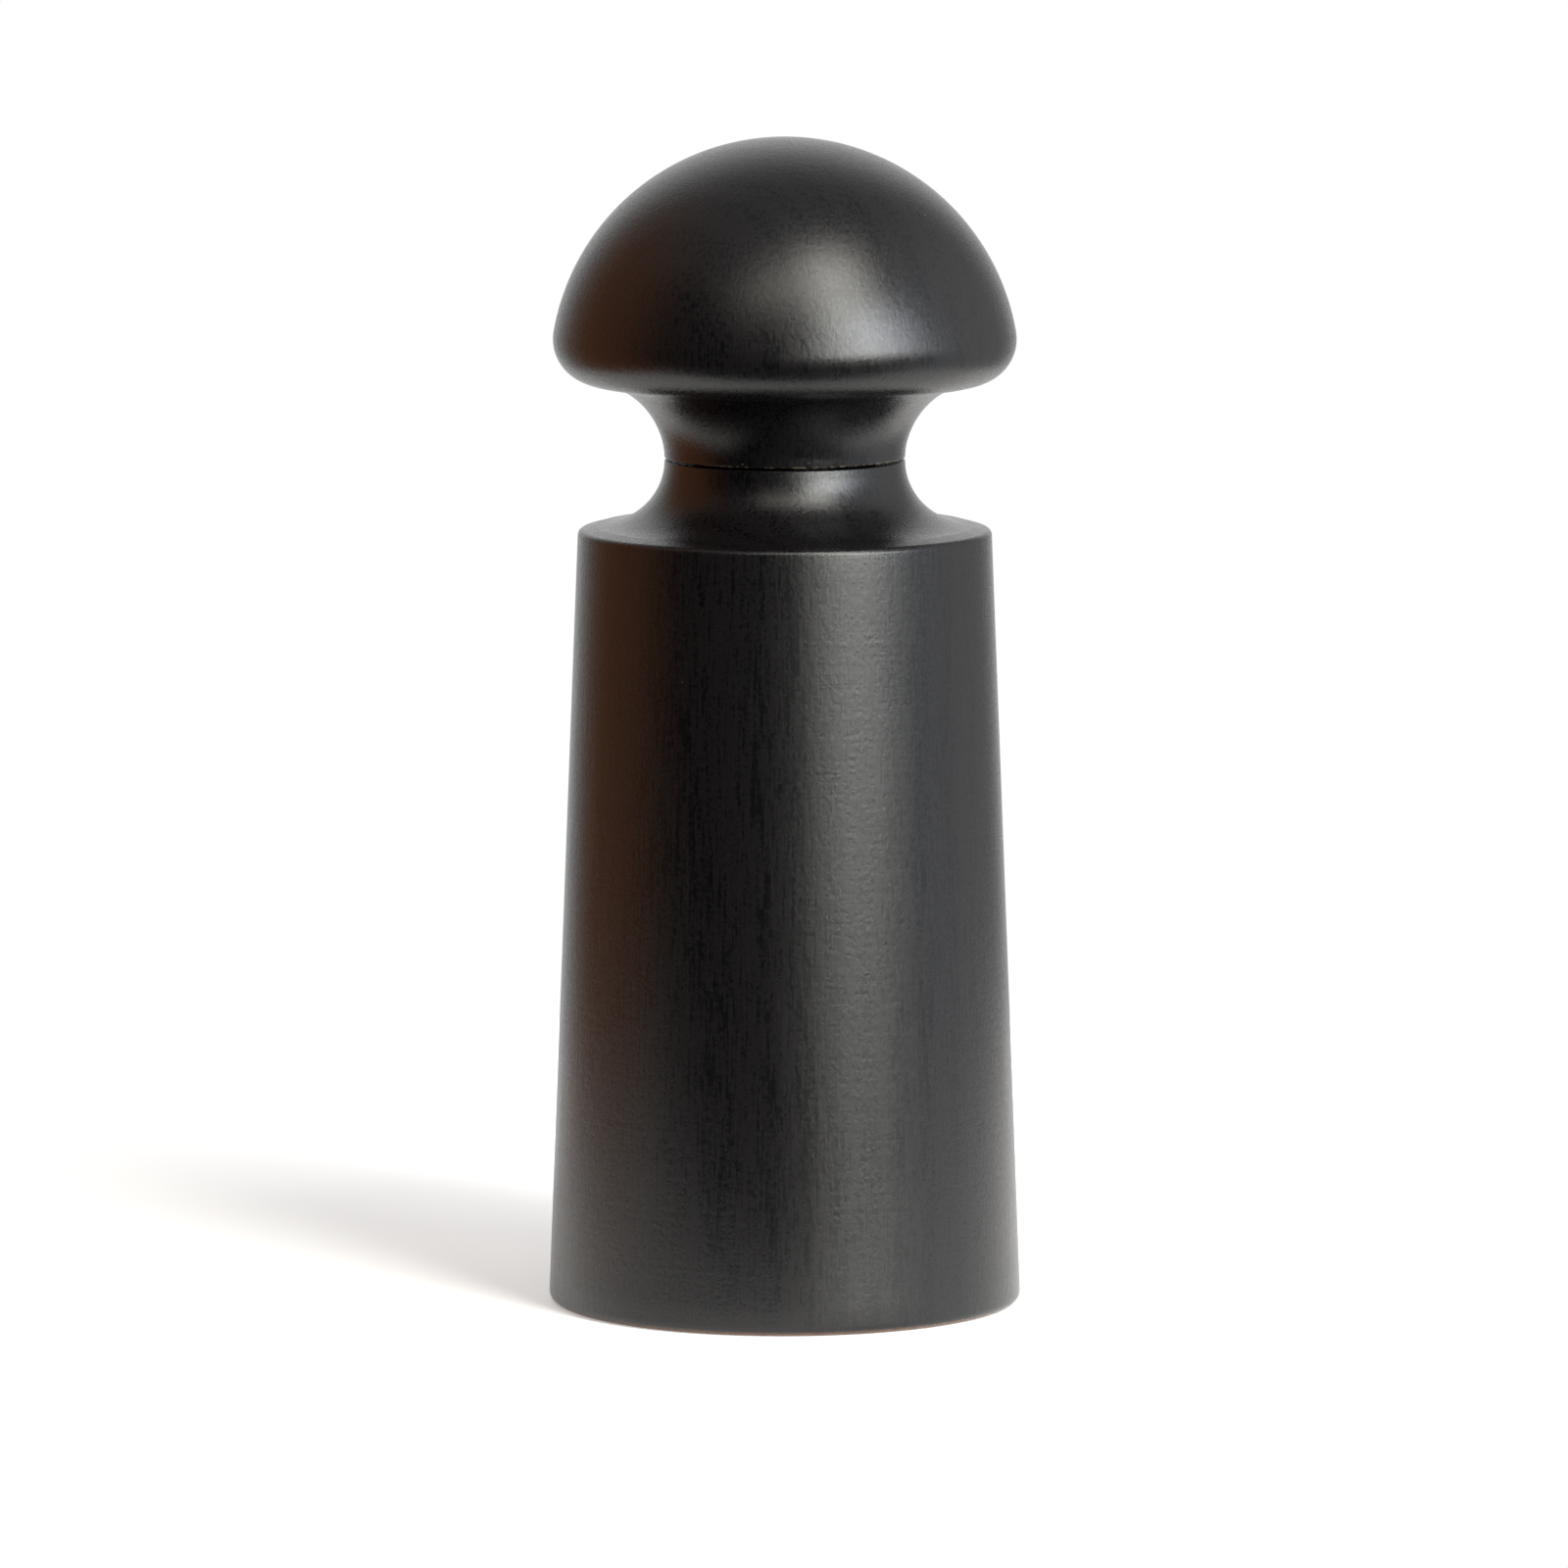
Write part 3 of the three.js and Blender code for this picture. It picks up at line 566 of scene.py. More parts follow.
def makeScrewTree():
    lengths = ("Recess length", "Recess width", "Recess depth", "Ring radius", "First angle", "Level")
    tree, given = newTree("woodScrews", [("Body", "Geometry")] + [(name, "Float") for name in lengths] + [
        ("Count", "Int"), ("Finish", "Material")])
    cross = addNode(tree, "GeometryNodeMeshBoolean", settings={"operation": "UNION", "solver": "EXACT"})
    for across, deep in (("Recess length", "Recess width"), ("Recess width", "Recess length")):
        bar = addNode(tree, "GeometryNodeMeshCube", {
            "Size": joinXYZ(tree, given[across], given[deep], given["Recess depth"])})
        tree.links.new(bar.outputs["Mesh"], cross.inputs[1])
    carved = addNode(tree, "GeometryNodeMeshBoolean", {0: given["Body"], 1: cross.outputs[0]}, {
        "operation": "DIFFERENCE", "solver": "EXACT"})
    index = addNode(tree, "GeometryNodeInputIndex").outputs[0]
    step = calc(tree, "DIVIDE", math.tau, given["Count"])
    angle = calc(tree, "MULTIPLY_ADD", index, step, given["First angle"])
    across = calc(tree, "MULTIPLY", calc(tree, "COSINE", angle), given["Ring radius"])
    along = calc(tree, "MULTIPLY", calc(tree, "SINE", angle), given["Ring radius"])
    laid = addNode(tree, "GeometryNodePoints", {
        "Count": given["Count"], "Position": joinXYZ(tree, across, along, given["Level"])})
    ownTurn = calc(tree, "MULTIPLY", index, turnPerScrew)
    many = addNode(tree, "GeometryNodeInstanceOnPoints", {
        "Points": laid.outputs[0], "Instance": carved.outputs[0],
        "Rotation": joinXYZ(tree, 0.0, 0.0, ownTurn)})
    return endTree(tree, many.outputs[0], given["Finish"])


screwTree = makeScrewTree()


# A thread's ridge takes this share of the pitch on each side of its crest.
ridgeShare = 0.36


# Moves a turned shank in and out in a helix, so that it carries a thread.
def threaded(piece, low, high, root, crest, pitch, fade=1.0):
    for vertex in piece.data.vertices:
        x, y, z = [c / mm for c in vertex.co]
        radius = math.hypot(x, y)
        if radius < root * 0.5 or not low <= z <= high:
            continue
        phase = (z / pitch - math.atan2(y, x) / (math.tau)) % 1
        ridge = max(0.0, 1 - abs(phase - 0.5) / ridgeShare)
        ramp = min(1.0, (z - low) / (fade * pitch), (high - z) / (fade * pitch))
        wanted = root + (crest - root) * ridge * max(0.0, ramp)
        limit = min(1.0, wanted / radius) if radius > crest else wanted / radius
        vertex.co.x *= limit
        vertex.co.y *= limit


# Shares of the thread's crest and of the head's width.
shankShare = 0.8
recessShare = 0.62


# The shank starts out thicker than the root, and the thread is then worked into it.
def makeScrews(name, s, body, nodes):
    shankRadius = s["crest"] * shankShare
    shankLength = s["length"] - s["headHeight"]
    steps = round(shankLength / s["pitch"] * 8)
    run = shankLength - s["point"]
    shank = [(shankRadius, s["headHeight"] + run * i / steps) for i in range(1, steps)]
    outline = softened([
        (0, 0), (s["headRadius"], 0, 0.45), (s["headRadius"], s["headHeight"] / 3, 0.2),
        (shankRadius, s["headHeight"])]) + shank + [(0.05, s["length"] - 0.02), (0, s["length"])]
    piece = turned(name, outline, zincSteel, sides=24)
    threaded(piece, s["headHeight"], s["length"] - s["point"], s["root"], s["crest"], s["pitch"])
    runTree(piece, screwTree, {
        "Recess length": 2 * s["headRadius"] * recessShare * mm, "Recess width": s["recessWidth"] * mm,
        "Recess depth": 2 * s["recessDepth"] * mm, "Ring radius": s["ring"] * mm,
        "First angle": math.pi / 2, "Level": s["level"] * mm, "Count": s["count"], "Finish": zincSteel})
    fit(piece, zincSteel, body, nodes, sharp=28)


housingScrewSizes = {
    "count": 3, "ring": 21.293, "level": 6.4, "headRadius": 2.1, "headHeight": 1.2, "crest": 1.1,
    "root": 0.72, "length": 8.6, "point": 1.8, "pitch": 0.8, "recessWidth": 0.55, "recessDepth": 0.55,
}
socketScrewSizes = {
    "count": 2, "ring": 9.467, "level": 99.1, "headRadius": 1.6, "headHeight": 0.9, "crest": 0.9,
    "root": 0.6, "length": 6.2, "point": 1.4, "pitch": 0.7, "recessWidth": 0.45, "recessDepth": 0.42,
}
makeScrews("housingScrews", housingScrewSizes, "barrel", [
    "housing_screw_1", "housing_screw_2", "housing_screw_3"])
makeScrews("socketScrews", socketScrewSizes, "head", ["socket_screw_1", "socket_screw_2"])


# Tools for the screws' seats: a through hole and a counterbore for each screw.
def screwSeats(s, level, thickness, clearance=0.3):
    tools = []
    cuts = (
        (s["crest"] + clearance, thickness + 1),
        (s["headRadius"] + clearance, s["headHeight"] + clearance))
    for i in range(s["count"]):
        angle = math.pi / 2 + math.tau * i / s["count"]
        centre = onCircle(s["ring"], angle)
        for radius, top in cuts:
            tools.append(prism("seat", polygon(radius, 32, 0, centre), level - 1, level + top))
    return tools


# The drive socket: a screwed flange and a square sleeve with four fingers.
socketSizes = {
    "level": 98.8, "flange": 11.717, "flangeThickness": 1.8, "sleeve": 5.617, "length": 17.2, "hole": 6.6,
    "slotWidth": 1.0, "slotReach": 16.0, "slotLength": 10.0,
}


def makeSocket():
    s = socketSizes
    top = s["level"] + s["length"]
    step = s["level"] + s["flangeThickness"]
    piece = turned("driveSocket", softened([
        (0, s["level"]), (s["flange"], s["level"], 0.4), (s["flange"], step, 0.3),
        (s["sleeve"], step, 0.5), (s["sleeve"], top, 0.3), (0, top)]), blackNylon)
    tools = [throughTool(rectangle(s["hole"], s["hole"]), s["level"], top)]
    for width, depth in ((s["slotReach"], s["slotWidth"]), (s["slotWidth"], s["slotReach"])):
        tools.append(prism("slot", rectangle(width, depth), top - s["slotLength"], top + 1))
    worked(piece, tools + screwSeats(socketScrewSizes, s["level"], s["flangeThickness"]))
    eased(piece, 0.12)
    fit(piece, blackNylon, "head", ["drive_socket"])


makeSocket()


# Wire pieces: the tree sweeps a round wire along a ring or a coil.
def makeWireTree():
    tree, given = newTree("bentWire", (
        ("Path", "Geometry"), ("Wire radius", "Float"), ("Wire sides", "Int"), ("Finish", "Material")))
    path = addNode(tree, "GeometryNodeMeshToCurve", {"Mesh": given["Path"]})
    section = addNode(tree, "GeometryNodeCurvePrimitiveCircle", {
        "Resolution": given["Wire sides"], "Radius": given["Wire radius"]})
    swept = addNode(tree, "GeometryNodeCurveToMesh", {
        "Curve": path.outputs[0], "Profile Curve": section.outputs[0], "Fill Caps": True})
    return endTree(tree, swept.outputs[0], given["Finish"])


wireTree = makeWireTree()


def bentWire(name, points, radius, sides, finish):
    piece = placed(name, flatMesh(name, points, [(i, i + 1) for i in range(len(points) - 1)]))
    return runTree(piece, wireTree, {"Wire radius": radius * mm, "Wire sides": sides, "Finish": finish})


gripRingSizes = {"ring": 6.417, "wire": 0.5, "level": 113.0, "mouth": 2.4, "steps": 72}


def makeGripRing():
    s = gripRingSizes
    half = math.asin(s["mouth"] / 2 / s["ring"])
    angles = [half + (math.tau - 2 * half) * i / s["steps"] for i in range(s["steps"] + 1)]
    points = [(*onCircle(s["ring"], a), s["level"]) for a in angles]
    piece = bentWire("gripRing", points, s["wire"], 16, springSteel)
    fit(piece, springSteel, "head", ["grip_ring"])


# The first and last turns of the spring lie flat, a wire's width apart.
springSizes = {
    "low": 22.3, "high": 30.3, "mean": 5.417, "wire": 0.45, "turns": 5, "stepsPerTurn": 40, "easing": 0.06,
}


def makeSpring():
    s = springSizes
    total = s["turns"] * s["stepsPerTurn"]
    closedRise = 2 * s["wire"]
    openRise = s["high"] - s["low"] - 2 * s["wire"] - 2 * closedRise
    points = []
    for i in range(total + 1):
        turn = i / s["stepsPerTurn"]
        opened = min(max((turn - 1) / (s["turns"] - 2), 0), 1)
        ends = min(turn, 1) + max(turn - (s["turns"] - 1), 0)
        gentle = opened - s["easing"] * math.sin(math.tau * opened)
        level = s["low"] + s["wire"] + closedRise * ends + openRise * gentle
        points.append((*onCircle(s["mean"], math.tau * turn), level))
    piece = bentWire("burrSpring", points, s["wire"], 14, springSteel)
    fit(piece, springSteel, None, ["burr_spring"])
    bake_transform(piece)


makeGripRing()
makeSpring()


# The spindle: a square bar with broken corners, threaded at its foot and tapered at its tip.
spindleSizes = {
    "side": 6.0, "cornerBreak": 0.5, "low": 2.5, "square": 8.6, "high": 114.5, "tipTaper": 1.8, "tip": 2.7,
    "crest": 2.5, "root": 2.02, "pitch": 1.0, "groove": 3.405, "grooveLow": 36.6, "grooveHigh": 38.0,
    "grooveReach": 8.0, "threadLap": 0.1, "threadStart": 0.4, "pointBreak": 0.5,
}


def makeSpindle():
    s = spindleSizes
    half = s["side"] / 2
    near = half - s["cornerBreak"]
    section = [(half, near), (near, half), (-near, half), (-half, near)]
    section += [(-x, -y) for x, y in section]
    piece = prism("driveSpindle", section, s["square"], s["high"])
    cone = turned("cone", [
        (0, s["square"] - 2), (s["side"], s["square"] - 2), (s["side"], s["high"] - s["tipTaper"]),
        (s["tip"], s["high"]), (0, s["high"])], extrudedAluminium)
    worked(piece, [cone], "INTERSECT")
    ring = turned("groove", [
        (s["groove"], s["grooveLow"]), (s["grooveReach"], s["grooveLow"]),
        (s["grooveReach"], s["grooveHigh"]), (s["groove"], s["grooveHigh"]),
        (s["groove"], s["grooveLow"])], extrudedAluminium)
    worked(piece, [ring])
    eased(piece, 0.12, angle=30)
    # the threaded foot is a turned piece of its own, joined to the bar as one mesh
    steps = round((s["square"] - s["low"]) / s["pitch"] * 12)
    reach = s["square"] + s["threadLap"] - s["low"]
    levels = [s["low"] + reach * i / steps for i in range(steps + 1)]
    outline = [(0, s["low"]), (s["crest"] - s["pointBreak"], s["low"])]
    outline += [(s["crest"] - max(0.0, s["pointBreak"] - (z - s["low"])), z) for z in levels[1:]]
    foot = turned("thread", outline + [(0, levels[-1])], extrudedAluminium, sides=48)
    threadFrom, threadTo = s["low"] + s["threadStart"], s["square"] + s["threadStart"]
    threaded(foot, threadFrom, threadTo, s["root"], s["crest"], s["pitch"], fade=0.4)
    build = bmesh.new()
    build.from_mesh(piece.data)
    build.from_mesh(foot.data)
    bpy.data.objects.remove(foot)
    build.to_mesh(piece.data)
    build.free()
    fit(piece, extrudedAluminium, "spindle", ["drive_spindle"], sharp=28)


makeSpindle()


# The bush, the clip and the washer on the spindle.
bushSizes = {"low": 31.8, "sleeve": 5.967, "sleeveTop": 35.3, "flange": 7.967, "top": 36.6, "hole": 6.6}
clipSizes = {"low": 36.9, "high": 37.7, "inner": 3.705, "outer": 6.905, "mouth": 4.4, "mouthReach": 10}
springWasherSizes = {"low": 30.6, "high": 31.2, "radius": 7.567, "hole": 6.6}


def makeBush():
    s = bushSizes
    piece = turned("spindleBush", softened([
        (0, s["low"]), (s["sleeve"], s["low"], 0.3), (s["sleeve"], s["sleeveTop"]),
        (s["flange"], s["sleeveTop"], 0.25), (s["flange"], s["top"], 0.25), (0, s["top"])]), whiteAcetal)
    worked(piece, [throughTool(rectangle(s["hole"], s["hole"]), s["low"], s["top"])])
    eased(piece, 0.15)
    fit(piece, whiteAcetal, "spindle", ["spindle_bush"])


def makeClip():
    s = clipSizes
    piece = turned("spindleClip", [
        (s["inner"], s["low"]), (s["outer"], s["low"]), (s["outer"], s["high"]), (s["inner"], s["high"]),
        (s["inner"], s["low"])], springSteel)
    mouth = rectangle(s["mouthReach"], s["mouth"], (s["mouthReach"] / 2, 0))
    worked(piece, [throughTool(mouth, s["low"], s["high"])])
    eased(piece, 0.12)
    fit(piece, springSteel, "spindle", ["spindle_clip"])


def makeSpringWasher():
    s = springWasherSizes
    outline = [(0, s["low"]), (s["radius"], s["low"]), (s["radius"], s["high"]), (0, s["high"])]
    piece = turned("springWasher", outline, zincSteel)
    worked(piece, [throughTool(rectangle(s["hole"], s["hole"]), s["low"], s["high"])])
    eased(piece, 0.1)
    fit(piece, zincSteel, "spindle", ["spring_washer"])


makeBush()
makeClip()
makeSpringWasher()


# The grinder housing: flange, sleeve with a lip, and a bridge of three spokes and a hub.
housingSizes = {
    "low": 6.4, "flange": 24.093, "flangeTop": 9.0, "outer": 18.493, "inner": 16.493, "lip": 14.293,
    "lipLow": 21.0, "lipHigh": 22.5, "bridge": 31.5, "top": 35.0, "hub": 8.567, "hubBore": 6.267,
    "spoke": 3.4,
}


def makeHousing():
    s = housingSizes
    piece = turned("grinderHousing", softened([
        (s["inner"], s["low"]), (s["flange"], s["low"], 0.4), (s["flange"], s["flangeTop"], 0.3),
        (s["outer"], s["flangeTop"], 0.6), (s["outer"], s["top"], 0.3), (s["inner"], s["top"], 0.3),
        (s["inner"], s["lipHigh"], 0.2), (s["lip"], s["lipHigh"], 0.3), (s["lip"], s["lipLow"], 0.3),
        (s["inner"], s["lipLow"], 0.2), (s["inner"], s["low"])]), blackNylon, sides=144)
    reach = s["inner"] + 1
    spoke = rectangle(reach, s["spoke"], (reach / 2, 0))
    parts = []
    for i in range(3):
        parts.append(prism("spoke", rotated(spoke, math.tau * i / 3), s["bridge"], s["top"]))
    parts.append(prism("hub", polygon(s["hub"], 96), s["bridge"], s["top"]))
    worked(piece, parts, "UNION")
    bore = throughTool(polygon(s["hubBore"], 96), s["bridge"], s["top"])
    worked(piece, [bore] + screwSeats(housingScrewSizes, s["low"], s["flangeTop"] - s["low"]))
    eased(piece, 0.15)
    fit(piece, blackNylon, "barrel", ["grinder_housing"])


makeHousing()


# A flat ring's outline, begun half way up its bore, with its four corners rounded.
def ringOutline(s, boreLow, rimLow, rimHigh, boreHigh):
    middle = (s["inner"], (s["low"] + s["high"]) / 2)
    return softened([
        middle, (s["inner"], s["low"], boreLow), (s["outer"], s["low"], rimLow),
        (s["outer"], s["high"], rimHigh), (s["inner"], s["high"], boreHigh), middle])


# The retainer: the ring that holds the stator up in its sleeve.
retainerSizes = {"low": 6.7, "high": 8.9, "inner": 13.193, "outer": 16.193}


def makeRetainer():
    outline = ringOutline(retainerSizes, 0.5, 0.3, 0.2, 0.2)
    piece = turned("burrRetainer", outline, blackNylon, sides=128)
    fit(piece, blackNylon, "barrel", ["burr_retainer"])


makeRetainer()


# The ceramic grinder: a fixed ring and a cone that turns in it. Twist is in radians to the metre.
rotorSizes = {
    "low": 9.5, "height": 12.2, "foot": 11.943, "top": 8.343, "fineHeight": 4.8, "coreHole": 6.743,
    "fluteCount": 12, "fluteDepth": 0.9, "fluteTwist": 50.0, "fluteSharp": 1.6,
    "toothCount": 24, "toothDepth": 0.4, "toothTwist": 20.0, "toothSharp": 1.3,
}
statorSizes = {
    "low": 9.2, "height": 11.5, "outer": 16.193, "mouthWall": 2.1, "grindHeight": 4.8, "grindGap": 0.75,
    "toothCount": 24, "toothDepth": 0.45, "toothSharp": 1.3,
}


def rotorRadius(level):
    s = rotorSizes
    return s["foot"] - (s["foot"] - s["top"]) * (level - s["low"]) / s["height"]


# Points down the rotor's cone, or off it by a gap, at levels in equal steps.
def conePoints(low, height, steps, gap=0.0):
    levels = [low + height * i / steps for i in range(steps + 1)]
    return [(rotorRadius(level) + gap, level) for level in levels]


# Fine teeth on the lower part of the cone, and deep flutes above them.
def makeRotor():
    s = rotorSizes
    top = s["low"] + s["height"]
    split = s["low"] + s["fineHeight"]
    face = conePoints(s["low"], s["fineHeight"], 10) + conePoints(split, top - split, 16)[1:]
    fine = (s["toothDepth"] * mm, s["toothCount"], s["toothTwist"], s["toothSharp"])
    deep = (s["fluteDepth"] * mm, s["fluteCount"], s["fluteTwist"], s["fluteSharp"])
    outline = [(0, s["low"])] + face + [(0, top)]
    piece = turned("rotorBurr", outline, firedCeramic, sides=288, longest=30, teeth=[
        {"from": s["low"] - 0.1, "to": split - 0.01, "inner": 7, "cut": fine},
        {"from": split - 0.01, "to": top + 0.1, "inner": 7, "cut": deep}])
    worked(piece, [throughTool(polygon(s["coreHole"], 6), s["low"], top)])
    fit(piece, firedCeramic, "rotor", ["rotor_burr"], sharp=24)


# Its teeth are cut outwards into the lower part of the bore, so their depth is negative.
def makeStator():
    s = statorSizes
    mouth = s["outer"] - s["mouthWall"]
    top = s["low"] + s["height"]
    grind = conePoints(s["low"], s["grindHeight"], 10, s["grindGap"])[::-1]
    back = softened([
        grind[-1], (s["outer"], s["low"], 0.3), (s["outer"], top, 0.3), (mouth, top, 0.3), grind[0]])
    widest = rotorRadius(s["low"]) + s["grindGap"] + 0.05
    piece = turned("statorBurr", back + grind[1:], firedCeramic, sides=288, longest=2.0, teeth=[
        {"from": s["low"] - 0.01, "to": s["low"] + s["grindHeight"] + 0.01, "inner": 5, "outer": widest,
         "cut": (-s["toothDepth"] * mm, s["toothCount"], 0.0, s["toothSharp"])}])
    fit(piece, firedCeramic, "barrel", ["stator_burr"], sharp=24)


makeRotor()
makeStator()


# The carrier: a flange under the rotor and a six-sided core through it.
carrierSizes = {"low": 7.8, "flange": 10.443, "flangeTop": 9.2, "core": 6.397, "top": 22.0, "hole": 6.6}


def makeCarrier():
    s = carrierSizes
    piece = turned("rotorCarrier", softened([
        (0, s["low"]), (s["flange"], s["low"], 0.35), (s["flange"], s["flangeTop"], 0.2),
        (0, s["flangeTop"])]), blackNylon)
    worked(piece, [prism("core", polygon(s["core"], 6), s["low"] + 0.5, s["top"])], "UNION")
    worked(piece, [throughTool(rectangle(s["hole"], s["hole"]), s["low"], s["top"])])
    eased(piece, 0.15)
    fit(piece, blackNylon, "rotor", ["rotor_carrier"])


makeCarrier()


# The dial, with its nut and its washer.
dialSizes = {
    "low": 1.7, "high": 6.7, "radius": 9.566, "edge": 0.6, "gripCount": 12, "gripDepth": 1.0, "bore": 2.8,
    "pocket": 4.966, "pocketFoot": 2.9,
}
nutSizes = {"low": 3.2, "high": 6.4, "corner": 4.62, "bore": 2.8, "bevelHeight": 0.5, "bevelIn": 0.65}
dialWasherSizes = {"low": 7.0, "high": 7.5, "inner": 2.8, "outer": 6.5}


def makeDial():
    s = dialSizes
    outline = softened([
        (0, s["low"]), (s["radius"] - 2.4, s["low"]), (s["radius"], s["low"], s["edge"]),
        (s["radius"], s["high"], s["edge"]), (s["radius"] - 2.4, s["high"]), (0, s["high"])], steps=5)
    piece = turned("adjusterDial", outline, blackNylon, sides=288, longest=1.2, teeth=[
        {"from": s["low"] - 1, "to": s["high"] + 1, "inner": s["radius"] - 1.3,
         "cut": (s["gripDepth"] * mm, s["gripCount"], 0.0, 2.0)}])
    worked(piece, [
        throughTool(polygon(s["bore"], 48), s["low"], s["high"]),
        prism("pocket", polygon(s["pocket"], 6), s["pocketFoot"], s["high"] + 1)])
    fit(piece, blackNylon, "dial", ["adjuster_dial"])


def makeNut():
    s = nutSizes
    piece = prism("dialNut", polygon(s["corner"], 6), s["low"], s["high"])
    flat, wide = s["corner"] - s["bevelIn"], s["corner"] + 0.1
    cone = turned("cone", [
        (0, s["low"]), (flat, s["low"]), (wide, s["low"] + s["bevelHeight"]),
        (wide, s["high"] - s["bevelHeight"]), (flat, s["high"]), (0, s["high"])], zincSteel)
    worked(piece, [cone], "INTERSECT")
    worked(piece, [throughTool(polygon(s["bore"], 48), s["low"], s["high"])])
    fit(piece, zincSteel, "dial", ["dial_nut"], sharp=24)


def makeDialWasher():
    piece = turned("dialWasher", ringOutline(dialWasherSizes, 0.12, 0.12, 0.12, 0.12), zincSteel)
    fit(piece, zincSteel, "dial", ["dial_washer"])


makeDial()
makeNut()
makeDialWasher()
print("mechanism ready")


# The room: a floor, a far sweep, the camera and soft lights.
roomSettings = {
    "floorColour": "#f4f4f4", "floorGlow": 0.38, "floorBack": 0.25, "floorFront": -0.08,
    "floorLeft": -0.17, "floorRight": 0.2,
    # the far sweep's painted shade: where its glow starts and ends its fall to grey, and how low it falls
    "sweepReach": 1.3, "sweepDrop": 0.0004, "paintedShadeFrom": -0.24, "paintedShadeTo": -0.60, "paintedShadeLevel": 0.42,
    "camera": (0.0, -1.6256, 0.2704), "aim": (-0.0001, 0.0, 0.0661), "lens": 296.5,
}


# A flat sheet on the stage, given by its sides and level in metres.
def stageSheet(name, left, front, right, back, level, finish):
    corners = [(x / mm, y / mm, level / mm) for x, y in (
        (left, front), (right, front), (right, back), (left, back))]
    sheet = placed(name, flatMesh(name, corners, faces=[(0, 1, 2, 3)]))
    sheet.data.materials.append(finish)
    return sheet


# Matt white paper under the mill, lit a little from within so that it reads as white.
def makeFloor():
    s = roomSettings
    finish, tree, place = newFinish("mattWhiteSweep")
    cloud = addNode(tree, "ShaderNodeTexNoise", {"Vector": place, "Scale": 60.0, "Detail": 3.0})
    shade(tree, {
        "Base Color": toLinear(s["floorColour"]), "Specular IOR Level": 0.1,
        "Roughness": remap(tree, cloud.outputs["Fac"], 0.0, 1.0, 0.85, 0.95),
        "Emission Color": (1, 1, 1, 1), "Emission Strength": s["floorGlow"]})
    stageSheet("floor", s["floorLeft"], s["floorFront"], s["floorRight"], s["floorBack"], 0, finish)


# The rest of the sweep: a sheet that glows with painted light, white beside and behind, falling off to
# painted grey shade on the camera's side, where the keys would burn out the edges of the mill against white.
# It takes no part in the light on the mill.
def makeFarSweep():
    s = roomSettings
    finish, tree, place = newFinish("paintedLightSweep")
    spot = addNode(tree, "ShaderNodeSeparateXYZ", {0: place})
    # painted shade: the glow falls off to grey towards the camera
    falloff = remap(tree, spot.outputs["Y"], s["paintedShadeTo"], s["paintedShadeFrom"], s["paintedShadeLevel"], 1.0, "SMOOTHSTEP")
    lit = addNode(tree, "ShaderNodeEmission", {"Strength": falloff})
    addNode(tree, "ShaderNodeOutputMaterial", {"Surface": lit.outputs[0]})
    reach = s["sweepReach"]
    sweep = stageSheet("farSweep", -reach, -reach, reach, reach, -s["sweepDrop"], finish)
    sweep.visible_diffuse = False
    sweep.visible_glossy = False
    sweep.visible_transmission = False
    sweep.visible_shadow = False


def makeCamera():
    s = roomSettings
    camera = placed("camera", bpy.data.cameras.new("camera"))
    camera.location = s["camera"]
    camera.rotation_euler = (Vector(s["aim"]) - camera.location).to_track_quat("-Z", "Y").to_euler()
    camera.data.lens = s["lens"]
    camera.data.sensor_width = 36
    camera.data.clip_start = 0.05
    camera.data.clip_end = 20
    scene.camera = camera


# Soft lights stand round the mill: turn from the front towards +X, rise, width, height, radiance, tint.
lightSettings = {
    "tallKey": (34, 39, 0.30, 0.86, 13.5, "#fefdf4"),
    "sideKey": (49, 20, 0.46, 0.32, 12.0, "#eef5ff"),
    "lowKey": (38, 6, 0.66, 0.18, 14.0, "#fcfdf4"),
    "rightKey": (69, 9, 0.34, 0.16, 4.2, "#f4f8ff"),
    "tableBounce": (38, -4, 0.46, 0.12, 1.0, "#fcfdf4"),
    "frontTop": (-6, 46, 0.40, 0.30, 3.2, "#fff6ea"),
}


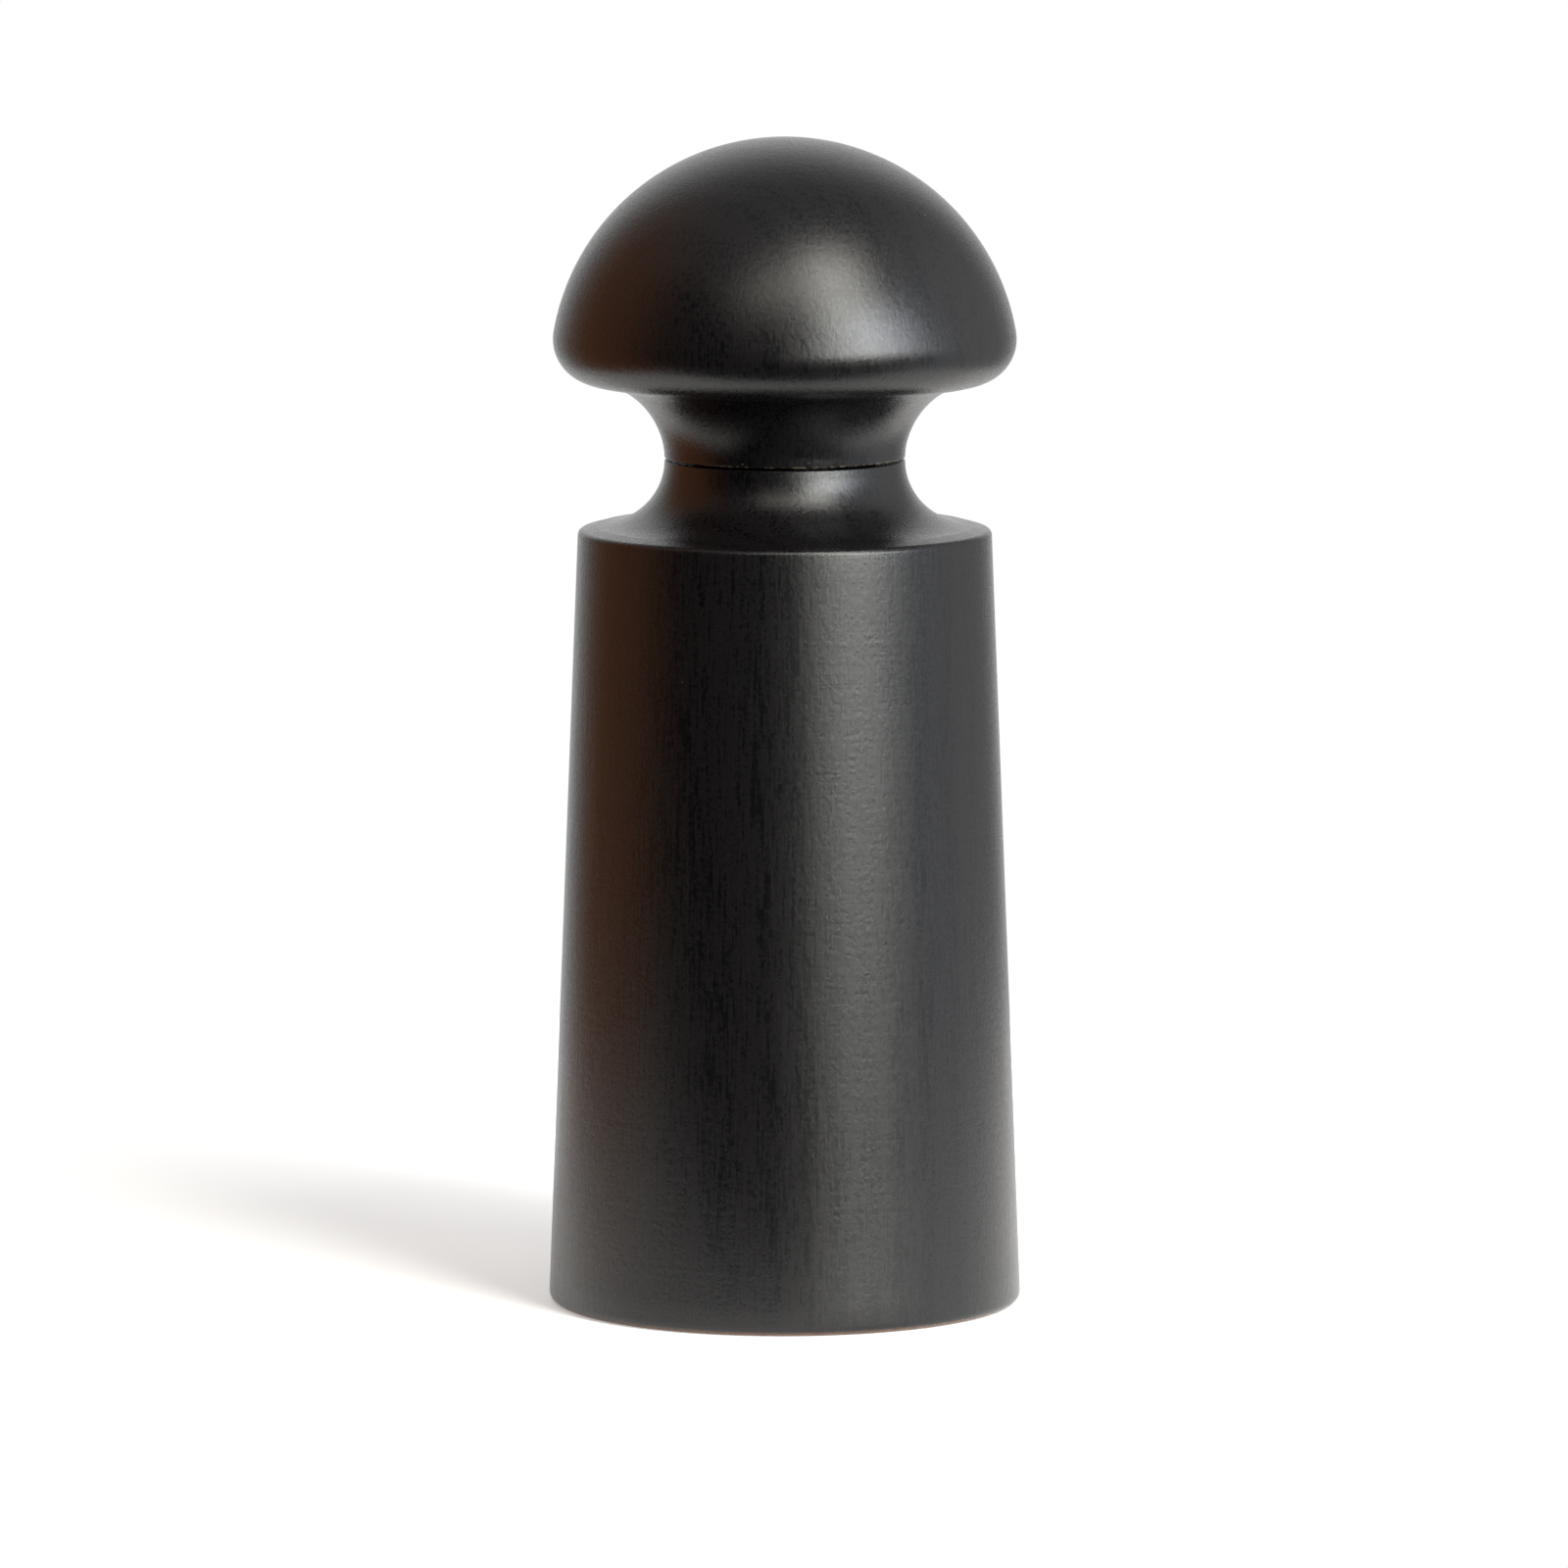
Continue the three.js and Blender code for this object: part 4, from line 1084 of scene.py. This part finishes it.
def makeLights():
    aim = Vector((0, 0, 0.09))
    for name, (turn, rise, width, height, radiance, tint) in lightSettings.items():
        light = bpy.data.lights.new(name, "AREA")
        light.shape = "RECTANGLE"
        light.size = width
        light.size_y = height
        light.energy = radiance * math.pi * width * height
        light.color = toLinear(tint)[:3]
        lamp = placed(name, light)
        turn, rise = math.radians(turn), math.radians(rise)
        away = Vector((math.sin(turn) * math.cos(rise), -math.cos(turn) * math.cos(rise), math.sin(rise)))
        lamp.location = aim + away
        lamp.rotation_euler = (-away).to_track_quat("-Z", "Y").to_euler()
        lamp.visible_camera = False


# White walls behind and beside the mill, brown wood to its left, and a dark room on the camera's side.
# The stops run round the horizon.
worldSettings = {
    "stops": [
        (0.0, 1.1), (0.06, 0.95), (0.10, 0.42), (0.14, [0.42, 0.18, 0.09, 1]),
        (0.275, [0.50, 0.21, 0.105, 1]), (0.305, 0.02), (0.40, 0.02), (0.48, 0.03), (0.66, 0.15),
        (0.74, [0.84, 0.92, 1.0, 1]), (0.80, 0.85), (0.85, 0.6), (0.90, 0.3), (0.95, 1.0), (1.0, 1.1)],
    "ceiling": [0.3, 0.3, 0.3, 1], "ceilingFrom": 0.5, "ceilingFull": 0.95,
}


def makeWorld():
    s = worldSettings
    world = bpy.data.worlds.new("studio")
    world.use_nodes = True
    scene.world = world
    tree = world.node_tree
    tree.nodes.clear()
    place = addNode(tree, "ShaderNodeTexCoord")
    way = addNode(tree, "ShaderNodeSeparateXYZ", {0: place.outputs["Generated"]}).outputs
    angle = calc(tree, "ARCTAN2", way["X"], calc(tree, "MULTIPLY", way["Y"], -1.0))
    walls = addNode(tree, "ShaderNodeValToRGB", {
        0: remap(tree, angle, -math.pi, math.pi)}, stops=s["stops"])
    high = remap(tree, way["Z"], s["ceilingFrom"], s["ceilingFull"], curve="SMOOTHSTEP")
    sky = mixColours(tree, high, walls.outputs[0], s["ceiling"])
    light = addNode(tree, "ShaderNodeBackground", {"Color": sky})
    seen = addNode(tree, "ShaderNodeBackground", {"Color": (1, 1, 1, 1)})
    path = addNode(tree, "ShaderNodeLightPath")
    mixed = addNode(tree, "ShaderNodeMixShader", {
        0: path.outputs["Is Camera Ray"], 1: light.outputs[0], 2: seen.outputs[0]})
    addNode(tree, "ShaderNodeOutputWorld", {"Surface": mixed.outputs[0]})


makeFloor()
makeFarSweep()
makeCamera()
makeLights()
makeWorld()
print("room ready")
